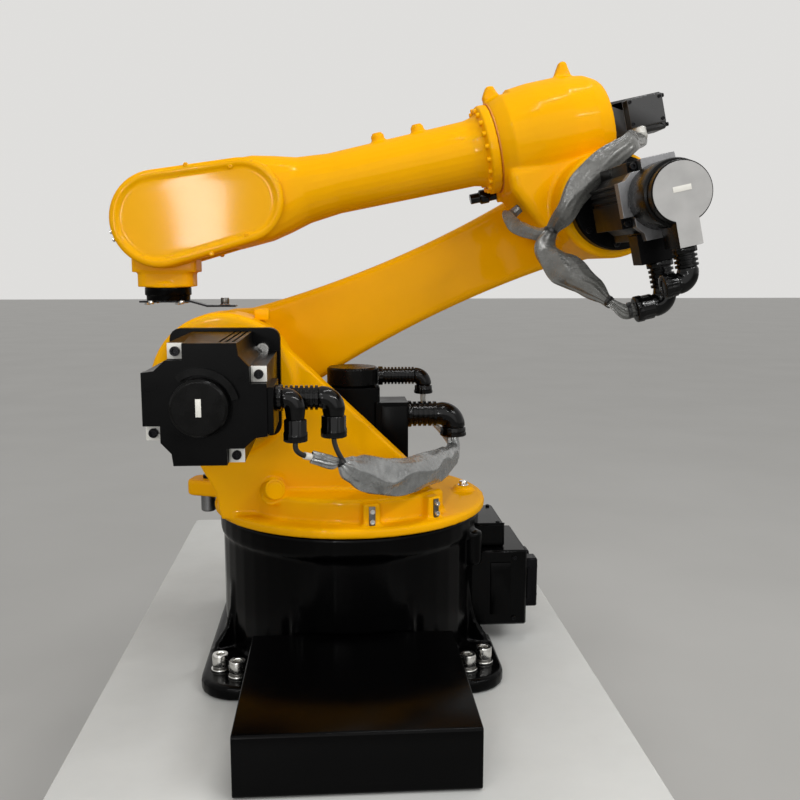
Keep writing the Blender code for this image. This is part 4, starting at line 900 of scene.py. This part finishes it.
def weld_beads():
    """Fillet welds of the four feet: round each post and along both gussets."""
    plate, out, wall = 0.018, 0.084, 0.012
    corner_x, corner_y, post, rise = 0.488, 0.978, 0.060, 0.197
    gusset, long_bead, upright_bead = 0.045, 0.0032, 0.0030
    bm = bmesh.new()
    for sx in (-1, 1):
        for sy in (-1, 1):
            x, y = sx * corner_x, sy * corner_y
            gx, gy = sx * (corner_x - gusset), sy * (corner_y - gusset)
            for shift in (0.0, wall):
                bx, by = gx + sx * shift, gy + sy * shift
                bead_into(bm, (x, by, plate), (x + sx * out, by, plate), long_bead)
                bead_into(bm, (x, by, plate), (x, by, rise), upright_bead)
                bead_into(bm, (bx, y, plate), (bx, y + sy * out, plate), long_bead)
                bead_into(bm, (bx, y, plate), (bx, y, rise), upright_bead)
            inner_x, inner_y = x - sx * post, y - sy * post
            for a, b in (((x, y), (inner_x, y)), ((x, y), (x, inner_y)), ((inner_x, y), (inner_x, inner_y)),
                         ((x, inner_y), (inner_x, inner_y))):
                bead_into(bm, (*a, plate), (*b, plate), long_bead)
    finish_mesh("foot_weld_beads", bm, PLINTH_GREY, BASE, FLOOR, 60)


# ---- Studio ----

FLOOR_LIGHT, FLOOR_DARK = (0.330, 0.325, 0.310), (0.300, 0.295, 0.280)
FLOOR_GLOW = 0.10                      # seen by the camera alone
WALL_WHITE = (1.0, 0.99, 0.97, 1.0)
WORLD_LIGHT, WORLD_SEEN = 0.44, 0.74   # as light, and as camera, glossy and transmission rays see it

# Area lamps: place, aim, size and watts.
LAMPS = {
    "ceiling_left": ((-1.6, -2.9, 3.1), (0.0, 0.0, 0.8), (1.3, 0.06), 18),
    "ceiling_middle": ((0.8, -0.5, 3.9), (0.0, 0.0, 0.8), (3.0, 0.07), 34),
    "ceiling_right": ((2.4, -2.3, 3.1), (0.2, 0.0, 0.8), (2.4, 0.07), 46),
    "front_fill": ((0.4, -4.6, 2.6), (0.0, 0.0, 0.7), (7.0, 4.5), 74),
    "window": ((-0.94, -4.2, 1.34), (-0.34, 0.0, 1.15), (0.22, 0.42), 18),
}


def floor():
    look = new_material("studio_floor", FLOOR_LIGHT, 0.60)
    graph = Graph(look)
    graph.colour(graph.mix(graph.spread(graph.noise(1.5, 4.0), 0.0, 1.0), FLOOR_LIGHT, FLOOR_DARK))
    graph.shader.inputs["Emission Color"].default_value = WALL_WHITE
    glow = graph.add("ShaderNodeMath")
    glow.operation = "MULTIPLY"
    glow.inputs[1].default_value = FLOOR_GLOW
    graph.link(graph.add("ShaderNodeLightPath").outputs["Is Camera Ray"], glow.inputs[0])
    graph.link(glow.outputs[0], graph.shader.inputs["Emission Strength"])
    bm = bmesh.new()
    bmesh.ops.create_grid(bm, x_segments=1, y_segments=1, size=30.0)
    mesh = bpy.data.meshes.new("studio_floor")
    bm.to_mesh(mesh)
    bm.free()
    mesh.materials.append(look)
    made = bpy.data.objects.new("studio_floor", mesh)
    bpy.context.scene.collection.objects.link(made)


def backdrop():
    """A plain pale world, brighter where the camera, a gloss or a clear piece sees it."""
    world = bpy.data.worlds.new("studio")
    bpy.context.scene.world = world
    world.use_nodes = True
    tree = world.node_tree
    background = tree.nodes["Background"]
    background.inputs["Color"].default_value = WALL_WHITE
    path = tree.nodes.new("ShaderNodeLightPath")
    seen = tree.nodes.new("ShaderNodeMath")
    seen.operation = "MAXIMUM"
    tree.links.new(path.outputs["Is Camera Ray"], seen.inputs[0])
    tree.links.new(path.outputs["Is Glossy Ray"], seen.inputs[1])
    more = tree.nodes.new("ShaderNodeMath")
    more.operation = "MAXIMUM"
    tree.links.new(seen.outputs[0], more.inputs[0])
    tree.links.new(path.outputs["Is Transmission Ray"], more.inputs[1])
    level = tree.nodes.new("ShaderNodeMapRange")
    level.inputs["To Min"].default_value = WORLD_LIGHT
    level.inputs["To Max"].default_value = WORLD_SEEN
    tree.links.new(more.outputs[0], level.inputs["Value"])
    tree.links.new(level.outputs["Result"], background.inputs["Strength"])


def lamps():
    for name, (place, aim, size, watts) in LAMPS.items():
        light = bpy.data.lights.new(name, "AREA")
        light.shape = "RECTANGLE"
        light.size, light.size_y = size
        light.energy = watts
        made = bpy.data.objects.new(name, light)
        made.location = place
        made.rotation_euler = (Vector(aim) - Vector(place)).to_track_quat("-Z", "Y").to_euler()
        bpy.context.scene.collection.objects.link(made)


def camera():
    """The camera as solved from the photograph's edges."""
    focal, frame_width, sensor = 921.7, 800.0, 36.0    # in pixels, pixels and millimetres
    pitch, heading = -0.1428, -0.0688
    lens = bpy.data.cameras.new("camera")
    lens.sensor_width = sensor
    lens.lens = focal / frame_width * sensor
    lens.clip_start = 0.05
    made = bpy.data.objects.new("camera", lens)
    made.location = (-0.0274 + TURN.translation.x, -1.988, 0.817 + PLINTH_TOP)
    made.rotation_euler = (pi / 2 + pitch, 0.0, heading)
    bpy.context.scene.collection.objects.link(made)
    bpy.context.scene.camera = made


floor()
backdrop()
lamps()
camera()
dress_nodes()
plugs()
lower_sleeve()
upper_sleeve()
wrist_covers()
base_fasteners()
column_fasteners()
elbow_fasteners()
forearm_fasteners()
tool_fasteners()
weld_beads()
bpy.context.scene.view_settings.view_transform = "Standard"
